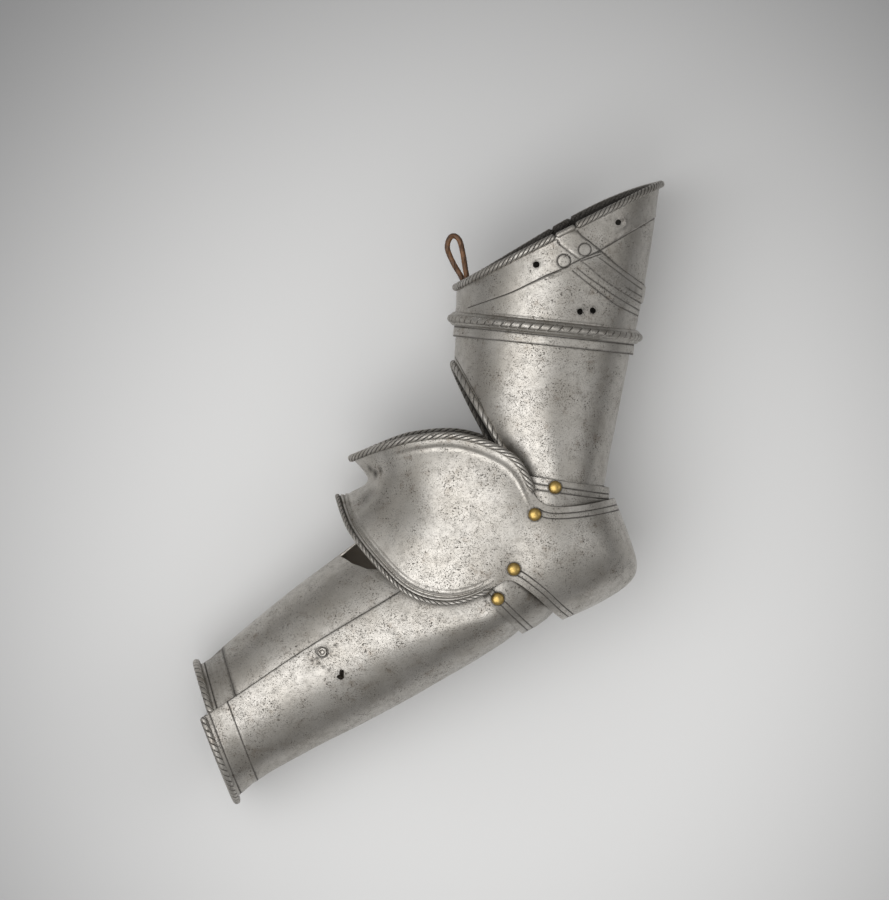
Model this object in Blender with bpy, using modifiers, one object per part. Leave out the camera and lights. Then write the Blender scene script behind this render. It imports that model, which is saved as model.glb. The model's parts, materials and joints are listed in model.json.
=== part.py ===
"""Plate armour for one arm: turner, upper cannon, elbow lames, couter and lower cannon.

The harness is drawn in an arm frame in millimetres. X and Y span the plane in which the
elbow bends, and Z is the elbow's axis, towards the near side. The last step lays the whole
harness on its far side, the way it rests by itself on a table.
"""

import math
from collections import namedtuple

import bmesh
import bpy
from mathutils import Matrix, Vector
from mathutils.geometry import intersect_ray_tri

MM = 0.001

# Sheet steel, mm
PLATE = 1.2
LAME_PLATE = 1.0
ROLL_RADIUS = 2.6
ROLL_LIFT = 1.0  # the roll's centre stands this far outside the plate's outer face
V_ROLL_LIFT = 0.4
SEAM_GAP = 0.5

# Turning joint between the turner and the upper cannon, mm
SWIVEL_CENTRE = Vector((68.3, 83.0, 0))
SWIVEL_LEAN = math.radians(5.9)  # the upper arm leans back by this much
BEAD_RADIUS = 66.4
BEAD_HALF = 4.7
NECK_RISE = 1.4  # the neck is this far over the bead
TURNER_RADIUS = 61.7
CANNON_RADIUS = 59.3
FLANGE_RADIUS = 64.3
FLANGE_RISE = 0.6  # its upper face is this far over the bead's middle
FLANGE_FOOT = -1.4
FLANGE_STEP = 0.4
BAND_DROP = 11.9  # the turner's lower edge is this far under the bead's middle
RIM_FAR_RISE = 11.0  # the oblique rim stands higher on its far side

# Elbow pivots in the bending plane, mm, from the upper arm to the forearm
PIVOTS = {
    "upper_cannon": Vector((74.7, -24.9, 0)),
    "upper_lame": Vector((61.0, -43.2, 0)),
    "lower_lame": Vector((46.9, -80.2, 0)),
    "lower_cannon": Vector((36.0, -100.3, 0)),
}

# Pivot rivets, mm
RIVET_HEAD = 4.4
RIVET_RISE = 3.0
RIVET_SHANK = 1.6
RIVET_HOLE = 2.0
WASHER_RADIUS = 3.6
WASHER = 0.9
RIVET_PLAY = 0.35
LEAN_ROOM = 0.12  # room for a plate that leans under its washer

# The balance point in the bending plane, mm: the harness rests on the three points round it
BALANCE = Vector((15.0, -38.0, 0))

AROUND = 36  # facets round a full ring
TURNER_ROWS = 6  # rows of facets from the rim to the bead

# Where the rolled edges run: angles round a ring, and places along the couter's ribs
V_ROLL = (math.radians(122), math.radians(240))
INNER_RIM_GAPS = (math.radians(2), math.radians(6))  # from the near seam and the far seam
TOP_ROLL_START = 5.6
LOW_ROLL_START = 6.2

# A ring is an oblique oval section: its front and back points in the bending plane, the
# distance from that plane to its side, and where it is widest, from 0 at its front to 1.
Ring = namedtuple("Ring", "front_x front_y back_x back_y side widest")

TURNER_TOP = [
    Ring(8.4, 111.0, 146.4, 180.4, 62.0, 0.5),
    Ring(8.0, 104.0, 141.6, 147.0, 62.6, 0.5),
    Ring(8.0, 98.5, 136.4, 114.0, 62.4, 0.5),
]

CANNON_TUBE = [
    Ring(7.3, 74.5, 125.6, 63.2, 59.2, 0.5),
    Ring(6.4, 48.0, 121.0, 40.0, 58.2, 0.5),
    Ring(8.5, 20.0, 116.6, 18.0, 57.0, 0.53),
    Ring(15.0, -6.0, 111.6, -6.0, 55.4, 0.58),
    Ring(21.0, -23.0, 108.2, -25.0, 54.2, 0.62),
    Ring(24.0, -36.5, 101.5, -36.5, 52.0, 0.64),
]

# The lower edge of the upper cannon, cut away in a V at the inner elbow
Point = namedtuple("Point", "x y")
CANNON_EDGE = [
    Point(7.0, 57.8),
    Point(37.0, 5.2),
    Point(51.0, -20.0),
    Point(58.0, -33.0),
    Point(68.0, -36.4),
    Point(112.0, -36.4),
]
CUT_FAR_DROP = 11.0  # the V is cut less deep on the far side

UPPER_LAME = [
    Ring(10.0, -10.4, 112.2, -25.6, 58.2, 0.607),
    Ring(8.0, -31.0, 112.0, -31.0, 58.0, 0.6),
    Ring(5.0, -42.0, 110.6, -42.0, 57.6, 0.58),
    Ring(5.0, -53.0, 105.6, -52.0, 56.4, 0.57),
]

LOWER_LAME = [
    Ring(0.0, -62.0, 83.0, -97.0, 56.0, 0.5),
    Ring(5.0, -73.4, 75.0, -109.0, 57.0, 0.5),
    Ring(8.0, -80.0, 65.0, -118.0, 57.4, 0.5),
    Ring(8.0, -81.2, 53.0, -125.0, 57.6, 0.5),
]
# How far the lames run round from their backs, each way
UPPER_REACH = math.radians(111)
LOWER_REACH = math.radians(104)

FOREARM = [
    Ring(-38.0, -45.0, 58.0, -108.0, 52.6, 0.79),
    Ring(-43.0, -50.0, 49.6, -123.4, 53.8, 0.80),
    Ring(-52.0, -56.8, 22.5, -142.1, 53.4, 0.70),
    Ring(-69.0, -70.0, -17.3, -165.2, 51.4, 0.58),
    Ring(-93.0, -87.0, -49.7, -182.9, 48.6, 0.53),
    Ring(-121.0, -109.0, -84.0, -200.2, 45.6, 0.5),
    Ring(-148.6, -132.3, -121.0, -220.6, 43.4, 0.5),
    Ring(-168.4, -145.6, -139.4, -236.6, 44.4, 0.5),
]
OUTER_RIM = Ring(-175.6, -149.6, -141.6, -237.4, 44.8, 0.5)
SEAM_SHARE = (0.41, 0.354)  # the seam's place from front to back, at the elbow and the cuff
SEAM_LAP = math.radians(15)
SEAM_BUTT = math.radians(1.2)

# The smaller plate is cut back at the inner elbow on its near side: how far down the rings
# it starts, by its angle in degrees. Past the bending plane it runs on to the first ring.
Cut = namedtuple("Cut", "angle start")
ELBOW_CUT = [
    Cut(80.0, 0.0),
    Cut(122.0, 0.0),
    Cut(129.0, 2.1),
    Cut(140.0, 2.65),
    Cut(152.0, 2.92),
    Cut(168.0, 3.08),
    Cut(178.0, 3.1),
    Cut(181.0, 0.0),
    Cut(360.0, 0.0),
]

CREST = (math.radians(178), math.radians(181))  # the cut ends between these angles

COUTER_HEART = Vector((45.0, -58.0, 0))  # the couter swells away from here

# A rib of the couter runs from its upper edge over its middle to its lower edge. swell is how
# far each half stands out from its chord. The table goes from the point of the elbow, on the
# bending plane, round the near side to the front.
Rib = namedtuple("Rib", "top_x top_y top_z mid_x mid_y mid_z low_x low_y low_z swell_up swell_low")
COUTER_BOWL = [
    Rib(116.0, -32.8, 0.0, 131.6, -85.0, 0.0, 80.6, -115.6, 0.0, 2.4, 4.0),
    Rib(114.0, -33.2, 18.2, 126.6, -81.0, 19.0, 79.2, -114.4, 18.0, 2.0, 4.2),
    Rib(106.4, -34.8, 37.0, 110.6, -74.6, 43.0, 73.6, -109.8, 37.0, 2.0, 4.0),
    Rib(93.0, -37.2, 51.6, 88.0, -67.6, 58.0, 65.0, -101.4, 50.6, 1.5, 3.0),
    Rib(77.0, -38.6, 59.8, 68.0, -62.4, 62.2, 54.0, -92.6, 57.6, 1.4, 1.4),
    Rib(62.6, -36.0, 61.4, 53.6, -60.0, 62.8, 43.4, -85.8, 59.6, 0.3, 0.3),
]
COUTER_WING = [
    COUTER_BOWL[-1],
    Rib(54.6, -16.4, 62.2, 41.0, -54.0, 63.8, 33.6, -92.4, 61.2, 0.8, 0.8),
    Rib(43.2, -2.7, 62.4, 21.0, -47.6, 63.8, 7.0, -102.9, 61.6, 1.6, 1.8),
    Rib(12.0, 9.2, 59.6, -6.0, -41.4, 60.0, -22.0, -97.4, 58.6, 2.4, 2.6),
    Rib(-18.0, 7.8, 51.0, -26.0, -34.0, 48.0, -44.0, -77.6, 50.4, 1.6, 2.0),
    Rib(-43.0, 1.4, 34.0, -42.0, -25.4, 30.0, -63.0, -53.4, 35.0, 0.0, 1.0),
    Rib(-62.4, -6.0, 0.0, -49.4, -21.4, 0.0, -71.4, -31.6, 0.0, -1.0, -1.0),
]

LOOP_THICK = 3.7
LOOP_PATH = [
    Vector((13.6, 99.0, 5.0)),
    Vector((13.4, 108.0, 5.5)),
    Vector((12.2, 116.0, 6.5)),
    Vector((6.0, 127.0, 7.0)),
    Vector((2.0, 137.0, 7.0)),
    Vector((3.6, 144.0, 7.0)),
    Vector((7.0, 145.4, 7.0)),
    Vector((10.4, 142.0, 7.0)),
    Vector((12.6, 133.0, 7.5)),
    Vector((14.4, 122.0, 9.0)),
    Vector((16.4, 111.0, 10.6)),
    Vector((17.4, 100.0, 11.0)),
]

STUD_RING = 4.31  # its place along the forearm's rings
STUD_INSET = math.radians(9)  # how far back from the near seam it stands
STUD_HOLE = 3.7
STUD_HEAD = 2.7
STUD_RISE = 1.0  # how far its head stands over and under the outer plate's face
STUD_ROUND = 0.4
STUD_SHANK_HOLE = 2.6

Hole = namedtuple("Hole", "x y radius")
TURNER_HOLES = [
    Hole(61.9, 125.5, 2.0),
    Hole(117.5, 154.2, 1.7),
    Hole(91.5, 93.8, 2.0),
    Hole(100.2, 94.5, 2.0),
]
CANNON_HOLE = Hole(-70.1, -152.3, 2.6)
CANNON_HOLE_STRETCH = 1.4

HINGE_LENGTH = 32.0
HINGE_LEAF = 7.0
HINGE_BARREL = 2.3
HINGE_BARREL_RISE = 1.6
HINGE_RING = 4.2  # its place along the forearm's rings
HINGE_GAP = 1.5


def clear_scene():
    for obj in list(bpy.data.objects):
        bpy.data.objects.remove(obj, do_unlink=True)


def make_collection(name):
    collection = bpy.data.collections.new(name)
    bpy.context.scene.collection.children.link(collection)
    return collection


def make_material(name, colour, metallic, roughness):
    material = bpy.data.materials.new(name)
    material.use_nodes = True
    shader = material.node_tree.nodes["Principled BSDF"]
    shader.inputs["Base Color"].default_value = (*colour, 1)
    shader.inputs["Metallic"].default_value = metallic
    shader.inputs["Roughness"].default_value = roughness
    return material


def through(values, at):
    """A smooth curve through a list of tuples, at a place counted in list steps."""
    last = len(values) - 1
    i = min(max(int(at), 0), last - 1)
    f = at - i
    here = Vector(values[i])
    there = Vector(values[i + 1])
    before = Vector(values[i - 1]) if i > 0 else here * 2 - there
    after = Vector(values[i + 2]) if i + 2 <= last else there * 2 - here
    slope_here = (there - before) / 2
    slope_there = (after - here) / 2
    bend = (2 * here - 2 * there + slope_here + slope_there) * f**3
    turn = (-3 * here + 3 * there - 2 * slope_here - slope_there) * f**2
    return bend + turn + slope_here * f + here


def ring_point(ring, angle, near_drop=0.0):
    """A point of a ring: angle 0 is its back, 90 degrees the near side, 180 its front."""
    front_x, front_y, back_x, back_y, side, widest = ring
    c = math.cos(angle)
    w = math.sin(angle)
    depth = side - near_drop if w > 0 else side
    share = widest + c * (1 - widest if c > 0 else widest)
    x = front_x + (back_x - front_x) * share
    y = front_y + (back_y - front_y) * share
    return Vector((x, y, depth * w))


def far_side(angle):
    """How far round to the far side an angle is, from 0 on the bending plane to 1."""
    return max(0.0, -math.sin(angle))


def rim_rise(angle):
    """How much higher the turner's rim is on its far side, most of all towards the back."""
    return RIM_FAR_RISE * far_side(angle) ** 2 * (0.55 + 0.45 * math.cos(angle))


def swivel_ring(rise, radius):
    """A round ring about the upper arm's axis, at a height over the bead's middle."""
    axis = Vector((math.sin(SWIVEL_LEAN), math.cos(SWIVEL_LEAN), 0))
    across = Vector((axis.y, -axis.x, 0))
    middle = SWIVEL_CENTRE + axis * rise
    front = middle - across * radius
    back = middle + across * radius
    return Ring(front.x, front.y, back.x, back.y, radius, 0.5)


def edge_height(edge, x):
    """The height of an edge, given by its points from front to back, at x."""
    for a, b in zip(edge, edge[1:]):
        if x <= b.x:
            break
    return a.y + (b.y - a.y) * (x - a.x) / (b.x - a.x)


def edge_place(rings, angle, edge):
    """How far down the rings the surface meets an edge of the plate, along one angle."""
    low = 0.0
    high = len(rings) - 1.0
    drop = CUT_FAR_DROP * far_side(angle)
    end = ring_point(through(rings, high), angle)
    if end.y > edge_height(edge, end.x) - drop:
        return high
    for _ in range(30):
        middle = (low + high) / 2
        point = ring_point(through(rings, middle), angle)
        if point.y > edge_height(edge, point.x) - drop:
            low = middle
        else:
            high = middle
    return low


def mesh_object(name, rows, closed, collection, material):
    """A surface through rows of points, in the arm frame; closed joins each row's ends."""
    bm = bmesh.new()
    grid = [[bm.verts.new(point * MM) for point in row] for row in rows]
    count = len(rows[0])
    for upper, lower in zip(grid, grid[1:]):
        for i in range(count if closed else count - 1):
            j = (i + 1) % count
            bm.faces.new((upper[i], upper[j], lower[j], lower[i]))
    mesh = bpy.data.meshes.new(name)
    bm.to_mesh(mesh)
    bm.free()
    mesh.materials.append(material)
    mesh.shade_smooth()
    obj = bpy.data.objects.new(name, mesh)
    collection.objects.link(obj)
    return obj


def thicken(obj, thickness):
    """Sheet metal: the outer face stays and the plate grows inward."""
    solid = obj.modifiers.new("Sheet", "SOLIDIFY")
    solid.thickness = thickness * MM
    solid.offset = -1
    solid.use_even_offset = True
    return obj


def combine(obj, other, operation):
    boolean = obj.modifiers.new(operation.title(), "BOOLEAN")
    boolean.operation = operation
    boolean.solver = "EXACT"
    boolean.object = other


def tube(name, points, radius, cyclic, collection, resolution=1):
    """A round bar along points, as a closed mesh."""
    curve = bpy.data.curves.new(name, "CURVE")
    curve.dimensions = "3D"
    curve.bevel_depth = radius * MM
    curve.bevel_resolution = resolution
    curve.use_fill_caps = True
    spline = curve.splines.new("POLY")
    spline.points.add(len(points) - 1)
    for place, point in zip(spline.points, points):
        place.co = (*(point * MM), 1)
    spline.use_cyclic_u = cyclic
    bent = bpy.data.objects.new(name, curve)
    collection.objects.link(bent)
    bpy.context.view_layer.update()
    evaluated = bent.evaluated_get(bpy.context.evaluated_depsgraph_get())
    mesh = bpy.data.meshes.new_from_object(evaluated)
    bm = bmesh.new()
    bm.from_mesh(mesh)
    bmesh.ops.remove_doubles(bm, verts=bm.verts, dist=0.01 * MM)
    bmesh.ops.recalc_face_normals(bm, faces=bm.faces)
    bm.to_mesh(mesh)
    bm.free()
    bpy.data.objects.remove(bent)
    bpy.data.curves.remove(curve)
    solid = bpy.data.objects.new(name, mesh)
    collection.objects.link(solid)
    return solid


def guide(obj):
    obj.hide_render = True
    obj.display_type = "WIRE"
    return obj


def add_roll(plate, points, cyclic, cutters):
    """A rolled edge along a plate's rim, made one with it."""
    roll = guide(tube(plate.name + "_roll", points, ROLL_RADIUS, cyclic, cutters))
    roll.parent = plate
    combine(plate, roll, "UNION")


def drill(plate, x, y, radius, cutters, near_only=True, stretch=1.0):
    """A hole along the elbow's axis, through the near wall or through both walls."""
    length = 100 if near_only else 200
    bm = bmesh.new()
    bmesh.ops.create_cone(
        bm,
        cap_ends=True,
        segments=12,
        radius1=radius * MM,
        radius2=radius * MM,
        depth=length * MM,
    )
    bmesh.ops.scale(bm, verts=bm.verts, vec=(1, stretch, 1))
    middle = length / 2 if near_only else 0
    bmesh.ops.translate(bm, verts=bm.verts, vec=Vector((x, y, middle)) * MM)
    mesh = bpy.data.meshes.new(plate.name + "_hole")
    bm.to_mesh(mesh)
    bm.free()
    cutter = guide(bpy.data.objects.new(plate.name + "_hole", mesh))
    cutters.objects.link(cutter)
    cutter.parent = plate
    combine(plate, cutter, "DIFFERENCE")


def rolled_rim(rings, at, angles, lift=ROLL_LIFT):
    """The points of a roll along a ring, just outside the plate's outer face."""
    ring = through(rings, at)
    middle = (ring_point(ring, 0) + ring_point(ring, math.pi)) / 2
    points = []
    for angle in angles:
        point = ring_point(ring, angle)
        outward = (point - middle).normalized()
        points.append(point + outward * lift)
    return points


def full_turn(count=AROUND):
    return [2 * math.pi * i / count for i in range(count)]


def spread(start, end, count):
    return [start + (end - start) * i / count for i in range(count + 1)]


def build_turner(parts, cutters, steel):
    """The top plate: an oblique rolled rim, and a hollow bead that holds the cannon's flange."""
    neck = swivel_ring(BEAD_HALF + NECK_RISE, TURNER_RADIUS)
    upper = TURNER_TOP + [neck]
    rings = [through(upper, at) for at in spread(0, len(TURNER_TOP), TURNER_ROWS)]
    for angle in spread(0, math.pi, 5):
        rise = BEAD_HALF * math.cos(angle)
        swell = (BEAD_RADIUS - TURNER_RADIUS) * math.sin(angle)
        rings.append(swivel_ring(rise, TURNER_RADIUS + swell))
    rings.append(swivel_ring(-BAND_DROP, TURNER_RADIUS))
    rises = [Vector((0, rim_rise(angle), 0)) for angle in full_turn()]
    rows = []
    for row, ring in enumerate(rings):
        share = max(0.0, 1 - row / TURNER_ROWS)
        points = [ring_point(ring, angle) for angle in full_turn()]
        rows.append([point + rise * share for point, rise in zip(points, rises)])
    turner = thicken(mesh_object("turner", rows, True, parts, steel), PLATE)
    rim = [point + rise for point, rise in zip(rolled_rim(upper, 0, full_turn()), rises)]
    add_roll(turner, rim, True, cutters)
    for hole in TURNER_HOLES:
        drill(turner, hole.x, hole.y, hole.radius, cutters)
    return turner


def build_upper_cannon(parts, cutters, steel):
    """The tube over the upper arm: flanged at the top, cut away in a V at the inner elbow."""
    rings = [
        swivel_ring(FLANGE_RISE, FLANGE_RADIUS),
        swivel_ring(FLANGE_RISE, CANNON_RADIUS + FLANGE_STEP),
        swivel_ring(FLANGE_FOOT, CANNON_RADIUS),
    ]
    top = [[ring_point(ring, angle) for angle in full_turn()] for ring in rings]
    depths = [edge_place(CANNON_TUBE, angle, CANNON_EDGE) for angle in full_turn()]
    rows = top
    for share in spread(0, 1, 7):
        row = []
        for angle, depth in zip(full_turn(), depths):
            row.append(ring_point(through(CANNON_TUBE, share * depth), angle))
        rows.append(row)
    cannon = thicken(mesh_object("upper_cannon", rows, True, parts, steel), PLATE)
    add_roll(cannon, v_cut_roll(), False, cutters)
    pivot = PIVOTS["upper_cannon"]
    drill(cannon, pivot.x, pivot.y, RIVET_HOLE, cutters, near_only=False)
    return cannon


def v_cut_roll():
    """The roll along the V at the inner elbow, from the near side round the front."""
    points = []
    for angle in spread(*V_ROLL, 20):
        at = edge_place(CANNON_TUBE, angle, CANNON_EDGE)
        ring = through(CANNON_TUBE, at)
        middle = (ring_point(ring, 0) + ring_point(ring, math.pi)) / 2
        point = ring_point(ring, angle)
        points.append(point + (point - middle).normalized() * V_ROLL_LIFT)
    return points


def build_lame(name, table, reach, pivots, parts, cutters, steel):
    """A narrow plate round the back of the elbow, between two pairs of pivots."""
    rings = [through(table, at) for at in spread(0, len(table) - 1, 5)]
    angles = spread(-reach, reach, 32)
    rows = [[ring_point(ring, angle) for angle in angles] for ring in rings]
    lame = thicken(mesh_object(name, rows, False, parts, steel), LAME_PLATE)
    for pivot in pivots:
        drill(lame, pivot.x, pivot.y, RIVET_HOLE, cutters, near_only=False)
    return lame


def rib_points(rib, count):
    """The points of one couter rib, from its upper edge to its lower edge."""
    top = Vector((rib.top_x, rib.top_y, rib.top_z))
    middle = Vector((rib.mid_x, rib.mid_y, rib.mid_z))
    low = Vector((rib.low_x, rib.low_y, rib.low_z))
    upper = (top + middle) / 2
    lower = (middle + low) / 2
    upper += (upper - COUTER_HEART).normalized() * rib.swell_up
    lower += (lower - COUTER_HEART).normalized() * rib.swell_low
    knots = [top, upper, middle, lower, low]
    return [through(knots, at) for at in spread(0, 4, count)]


def couter_rib(at):
    """The couter's rib at a place counted from 0 at the elbow's point to 11 at the front."""
    bowl_end = len(COUTER_BOWL) - 1
    if at <= bowl_end:
        return Rib(*through(COUTER_BOWL, at))
    return Rib(*through(COUTER_WING, at - bowl_end))


def mirrored(points):
    return [Vector((p.x, p.y, -p.z)) for p in points]


def build_couter(parts, cutters, steel):
    """The closed elbow cop: a pointed bowl whose wing wraps round the inner elbow."""
    last = len(COUTER_BOWL) + len(COUTER_WING) - 2
    places = spread(0, last, 2 * last)
    near = [rib_points(couter_rib(at), 9) for at in places]
    ribs = near + [mirrored(points) for points in reversed(near[1:-1])]
    rows = [list(row) for row in zip(*ribs)]
    couter = thicken(mesh_object("couter", rows, True, parts, steel), PLATE)
    for edge, start in (("top", TOP_ROLL_START), ("low", LOW_ROLL_START)):
        near_edge = []
        for at in spread(start, last, 14):
            rib = couter_rib(at)
            point = Vector([getattr(rib, edge + axis) for axis in ("_x", "_y", "_z")])
            near_edge.append(point + (point - COUTER_HEART).normalized() * ROLL_LIFT)
        points = near_edge + mirrored(reversed(near_edge[:-1]))
        add_roll(couter, points, False, cutters)
    for body in ("upper_lame", "lower_lame"):
        pivot = PIVOTS[body]
        drill(couter, pivot.x, pivot.y, RIVET_HOLE, cutters, near_only=False)
    return couter


def seam_angle(at):
    """The near seam's angle at a place along the forearm's rings."""
    along = at / (len(FOREARM) - 1)
    share = SEAM_SHARE[0] + (SEAM_SHARE[1] - SEAM_SHARE[0]) * along
    widest = through(FOREARM, at)[5]
    return math.acos((share - widest) / widest)


def stud_place():
    angle = seam_angle(STUD_RING) - STUD_INSET
    return ring_point(through(FOREARM, STUD_RING), angle)


def build_outer_plate(parts, cutters, steel):
    """The forearm's larger plate, on the elbow's side. Its near edge laps over the other."""
    table = FOREARM[:-1] + [OUTER_RIM]
    last = len(table) - 1
    rows = []
    for at in spread(0, last, 11):
        near = seam_angle(at)
        far = -seam_angle(at) + SEAM_BUTT
        rows.append([ring_point(through(table, at), a) for a in spread(far, near, 22)])
    plate = thicken(mesh_object("lower_cannon_outer", rows, False, parts, steel), PLATE)
    angles = spread(-seam_angle(last) + SEAM_BUTT, seam_angle(last), 22)
    add_roll(plate, rolled_rim(table, last, angles), False, cutters)
    pivot = PIVOTS["lower_cannon"]
    drill(plate, pivot.x, pivot.y, RIVET_HOLE, cutters, near_only=False)
    stud = stud_place()
    drill(plate, stud.x, stud.y, STUD_HOLE, cutters)
    hole = CANNON_HOLE
    drill(plate, hole.x, hole.y, hole.radius, cutters, stretch=CANNON_HOLE_STRETCH)
    return plate


def elbow_cut(angle):
    """How far down the rings the smaller plate starts, at an angle."""
    degrees = math.degrees(angle)
    for a, b in zip(ELBOW_CUT, ELBOW_CUT[1:]):
        if degrees <= b.angle:
            break
    return a.start + (b.start - a.start) * (degrees - a.angle) / (b.angle - a.angle)


def inner_angles(at):
    """The smaller plate's columns at a place along the rings: the cut ends between two."""
    near = seam_angle(at) - SEAM_LAP
    far = 2 * math.pi - seam_angle(at) - SEAM_BUTT
    return spread(near, CREST[0], 9) + spread(CREST[1], far, 8)


def build_inner_plate(parts, cutters, steel):
    """The forearm's smaller plate, on the inner side. It lies inside the other's near edge."""
    last = len(FOREARM) - 1
    drop = PLATE + SEAM_GAP
    starts = [elbow_cut(angle) for angle in inner_angles(0)]
    rows = []
    for share in spread(0, 1, 11):
        row = []
        for column, start in enumerate(starts):
            at = start + (last - start) * share
            row.append(ring_point(through(FOREARM, at), inner_angles(at)[column], drop))
        rows.append(row)
    plate = thicken(mesh_object("lower_cannon_inner", rows, False, parts, steel), PLATE)
    near = seam_angle(last) + INNER_RIM_GAPS[0]
    far = 2 * math.pi - seam_angle(last) - INNER_RIM_GAPS[1]
    add_roll(plate, rolled_rim(FOREARM, last, spread(near, far, 16)), False, cutters)
    stud = stud_place()
    drill(plate, stud.x, stud.y, STUD_SHANK_HOLE, cutters)
    return plate


def turned(name, profile, segments, collection, material):
    """A turned piece about Z, from (radius, height) points down its outer side, in mm."""
    bm = bmesh.new()
    verts = [bm.verts.new((radius * MM, 0, height * MM)) for radius, height in profile]
    for a, b in zip(verts, verts[1:]):
        bm.edges.new((a, b))
    mesh = bpy.data.meshes.new(name)
    bm.to_mesh(mesh)
    bm.free()
    mesh.materials.append(material)
    obj = bpy.data.objects.new(name, mesh)
    collection.objects.link(obj)
    screw = obj.modifiers.new("Turn", "SCREW")
    screw.angle = 2 * math.pi
    screw.steps = segments
    screw.render_steps = segments
    screw.use_merge_vertices = True
    screw.merge_threshold = 0.00001
    return obj


def build_rivet(name, grip, parts, brass):
    """A brass rivet: a domed head, a shank through both plates, and a washer inside."""
    low = -grip - WASHER
    profile = [(0, RIVET_RISE)]
    for angle in spread(math.radians(30), math.radians(90), 2):
        profile.append((RIVET_HEAD * math.sin(angle), RIVET_RISE * math.cos(angle)))
    profile.append((RIVET_SHANK, 0))
    profile.append((RIVET_SHANK, -grip))
    profile.append((WASHER_RADIUS, -grip))
    profile.append((WASHER_RADIUS, low))
    profile.append((0, low))
    return turned(name, profile, 12, parts, brass)


def build_stud(parts, steel):
    """The closing stud: it stands on the inner plate and fills the outer plate's hole."""
    washer = -2 * PLATE - SEAM_GAP - STUD_RISE
    profile = [
        (0, STUD_RISE),
        (STUD_HEAD - STUD_ROUND, STUD_RISE),
        (STUD_HEAD, STUD_RISE - STUD_ROUND),
        (STUD_HEAD, -STUD_RISE),
        (RIVET_SHANK, -STUD_RISE),
        (RIVET_SHANK, washer),
        (WASHER_RADIUS, washer),
        (WASHER_RADIUS, washer - WASHER),
        (0, washer - WASHER),
    ]
    return turned("closing_stud", profile, 12, parts, steel)


def build_hinge(parts, cutters, steel):
    """The plain hinge over the far seam: a leaf on each plate and a barrel between."""
    bm = bmesh.new()
    bmesh.ops.create_cube(bm, size=1)
    size = (HINGE_LENGTH * MM, 2 * HINGE_LEAF * MM, PLATE * MM)
    bmesh.ops.scale(bm, verts=bm.verts, vec=size)
    mesh = bpy.data.meshes.new("cannon_hinge")
    bm.to_mesh(mesh)
    bm.free()
    mesh.materials.append(steel)
    hinge = bpy.data.objects.new("cannon_hinge", mesh)
    parts.objects.link(hinge)
    half = HINGE_LENGTH / 2
    ends = [Vector((-half, 0, HINGE_BARREL_RISE)), Vector((half, 0, HINGE_BARREL_RISE))]
    barrel = guide(tube("hinge_barrel", ends, HINGE_BARREL, False, cutters, 2))
    barrel.parent = hinge
    combine(hinge, barrel, "UNION")
    return hinge


def build_loop(parts, leather):
    """The leather loop that stands up inside the rim, with both its ends out of sight."""
    points = [through(LOOP_PATH, at) for at in spread(0, len(LOOP_PATH) - 1, 33)]
    loop = tube("leather_loop", points, LOOP_THICK / 2, False, parts, 2)
    loop.data.materials.append(leather)
    loop.data.shade_smooth()
    return loop


def frame_on(origin, along, outward):
    """A matrix with X along a direction and Z pointing outward, at an origin in mm."""
    z = outward.normalized()
    y = z.cross(along).normalized()
    x = y.cross(z)
    turn = Matrix((x, y, z)).transposed().to_4x4()
    return Matrix.Translation(origin * MM) @ turn


def surface_height(rings, x, y):
    """The distance from the bending plane to a plate's outer face over a point of it."""
    low = 0.0
    high = len(rings) - 1.0
    for _ in range(40):
        middle = (low + high) / 2
        front_x, front_y, back_x, back_y, side, widest = through(rings, middle)
        chord = Vector((back_x - front_x, back_y - front_y))
        offset = Vector((x - front_x, y - front_y))
        if chord.x * offset.y - chord.y * offset.x < 0:
            low = middle
        else:
            high = middle
    share = offset.dot(chord) / chord.length_squared
    c = (share - widest) / (1 - widest if share > widest else widest)
    return side * math.sqrt(max(0, 1 - c * c))


def couter_height(x, y):
    """The couter's distance from the bending plane near its pivots, at its nearest point."""
    points = [p for at in spread(3, 7, 40) for p in rib_points(couter_rib(at), 40)]
    return min(points, key=lambda p: (p.x - x) ** 2 + (p.y - y) ** 2).z


def side_heights(rings, at, radius):
    """A plate's distances from the bending plane on a circle round a pivot, and on it."""
    places = [at] + [at + Vector((math.cos(a), math.sin(a), 0)) * radius for a in full_turn(8)]
    if rings is None:
        return [couter_height(place.x, place.y) for place in places]
    return [surface_height(rings, place.x, place.y) for place in places]


def forearm_frame(at, angle, lift):
    """A frame on the forearm: X along it, Z out of its surface, lifted by some mm."""
    side = 1 if angle > 0 else -1
    ring = through(FOREARM, at)
    ahead = ring_point(through(FOREARM, at - 0.5), angle)
    along = ahead - ring_point(through(FOREARM, at + 0.5), angle)
    around = ring_point(ring, angle + 0.1) - ring_point(ring, angle - 0.1)
    outward = along.cross(around).normalized()
    if outward.z * side < 0:
        outward = -outward
    return frame_on(ring_point(ring, angle) + outward * lift, along, outward)


def make_empty(name, place, collection, parent=None):
    empty = bpy.data.objects.new(name, None)
    empty.empty_display_size = 0.02
    collection.objects.link(empty)
    empty.parent = parent
    origin = parent["place"] if parent else Vector((0, 0, 0))
    empty.location = (place - Vector(origin)) * MM
    empty["place"] = tuple(place)
    return empty


def hang(obj, pivot, place=None):
    """Parent a piece to its joint; a mesh drawn in the arm frame keeps its place."""
    obj.parent = pivot
    if place is None:
        place = Matrix.Identity(4)
    offset = Matrix.Translation(-Vector(pivot["place"]) * MM)
    obj.matrix_basis = offset @ place


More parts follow.
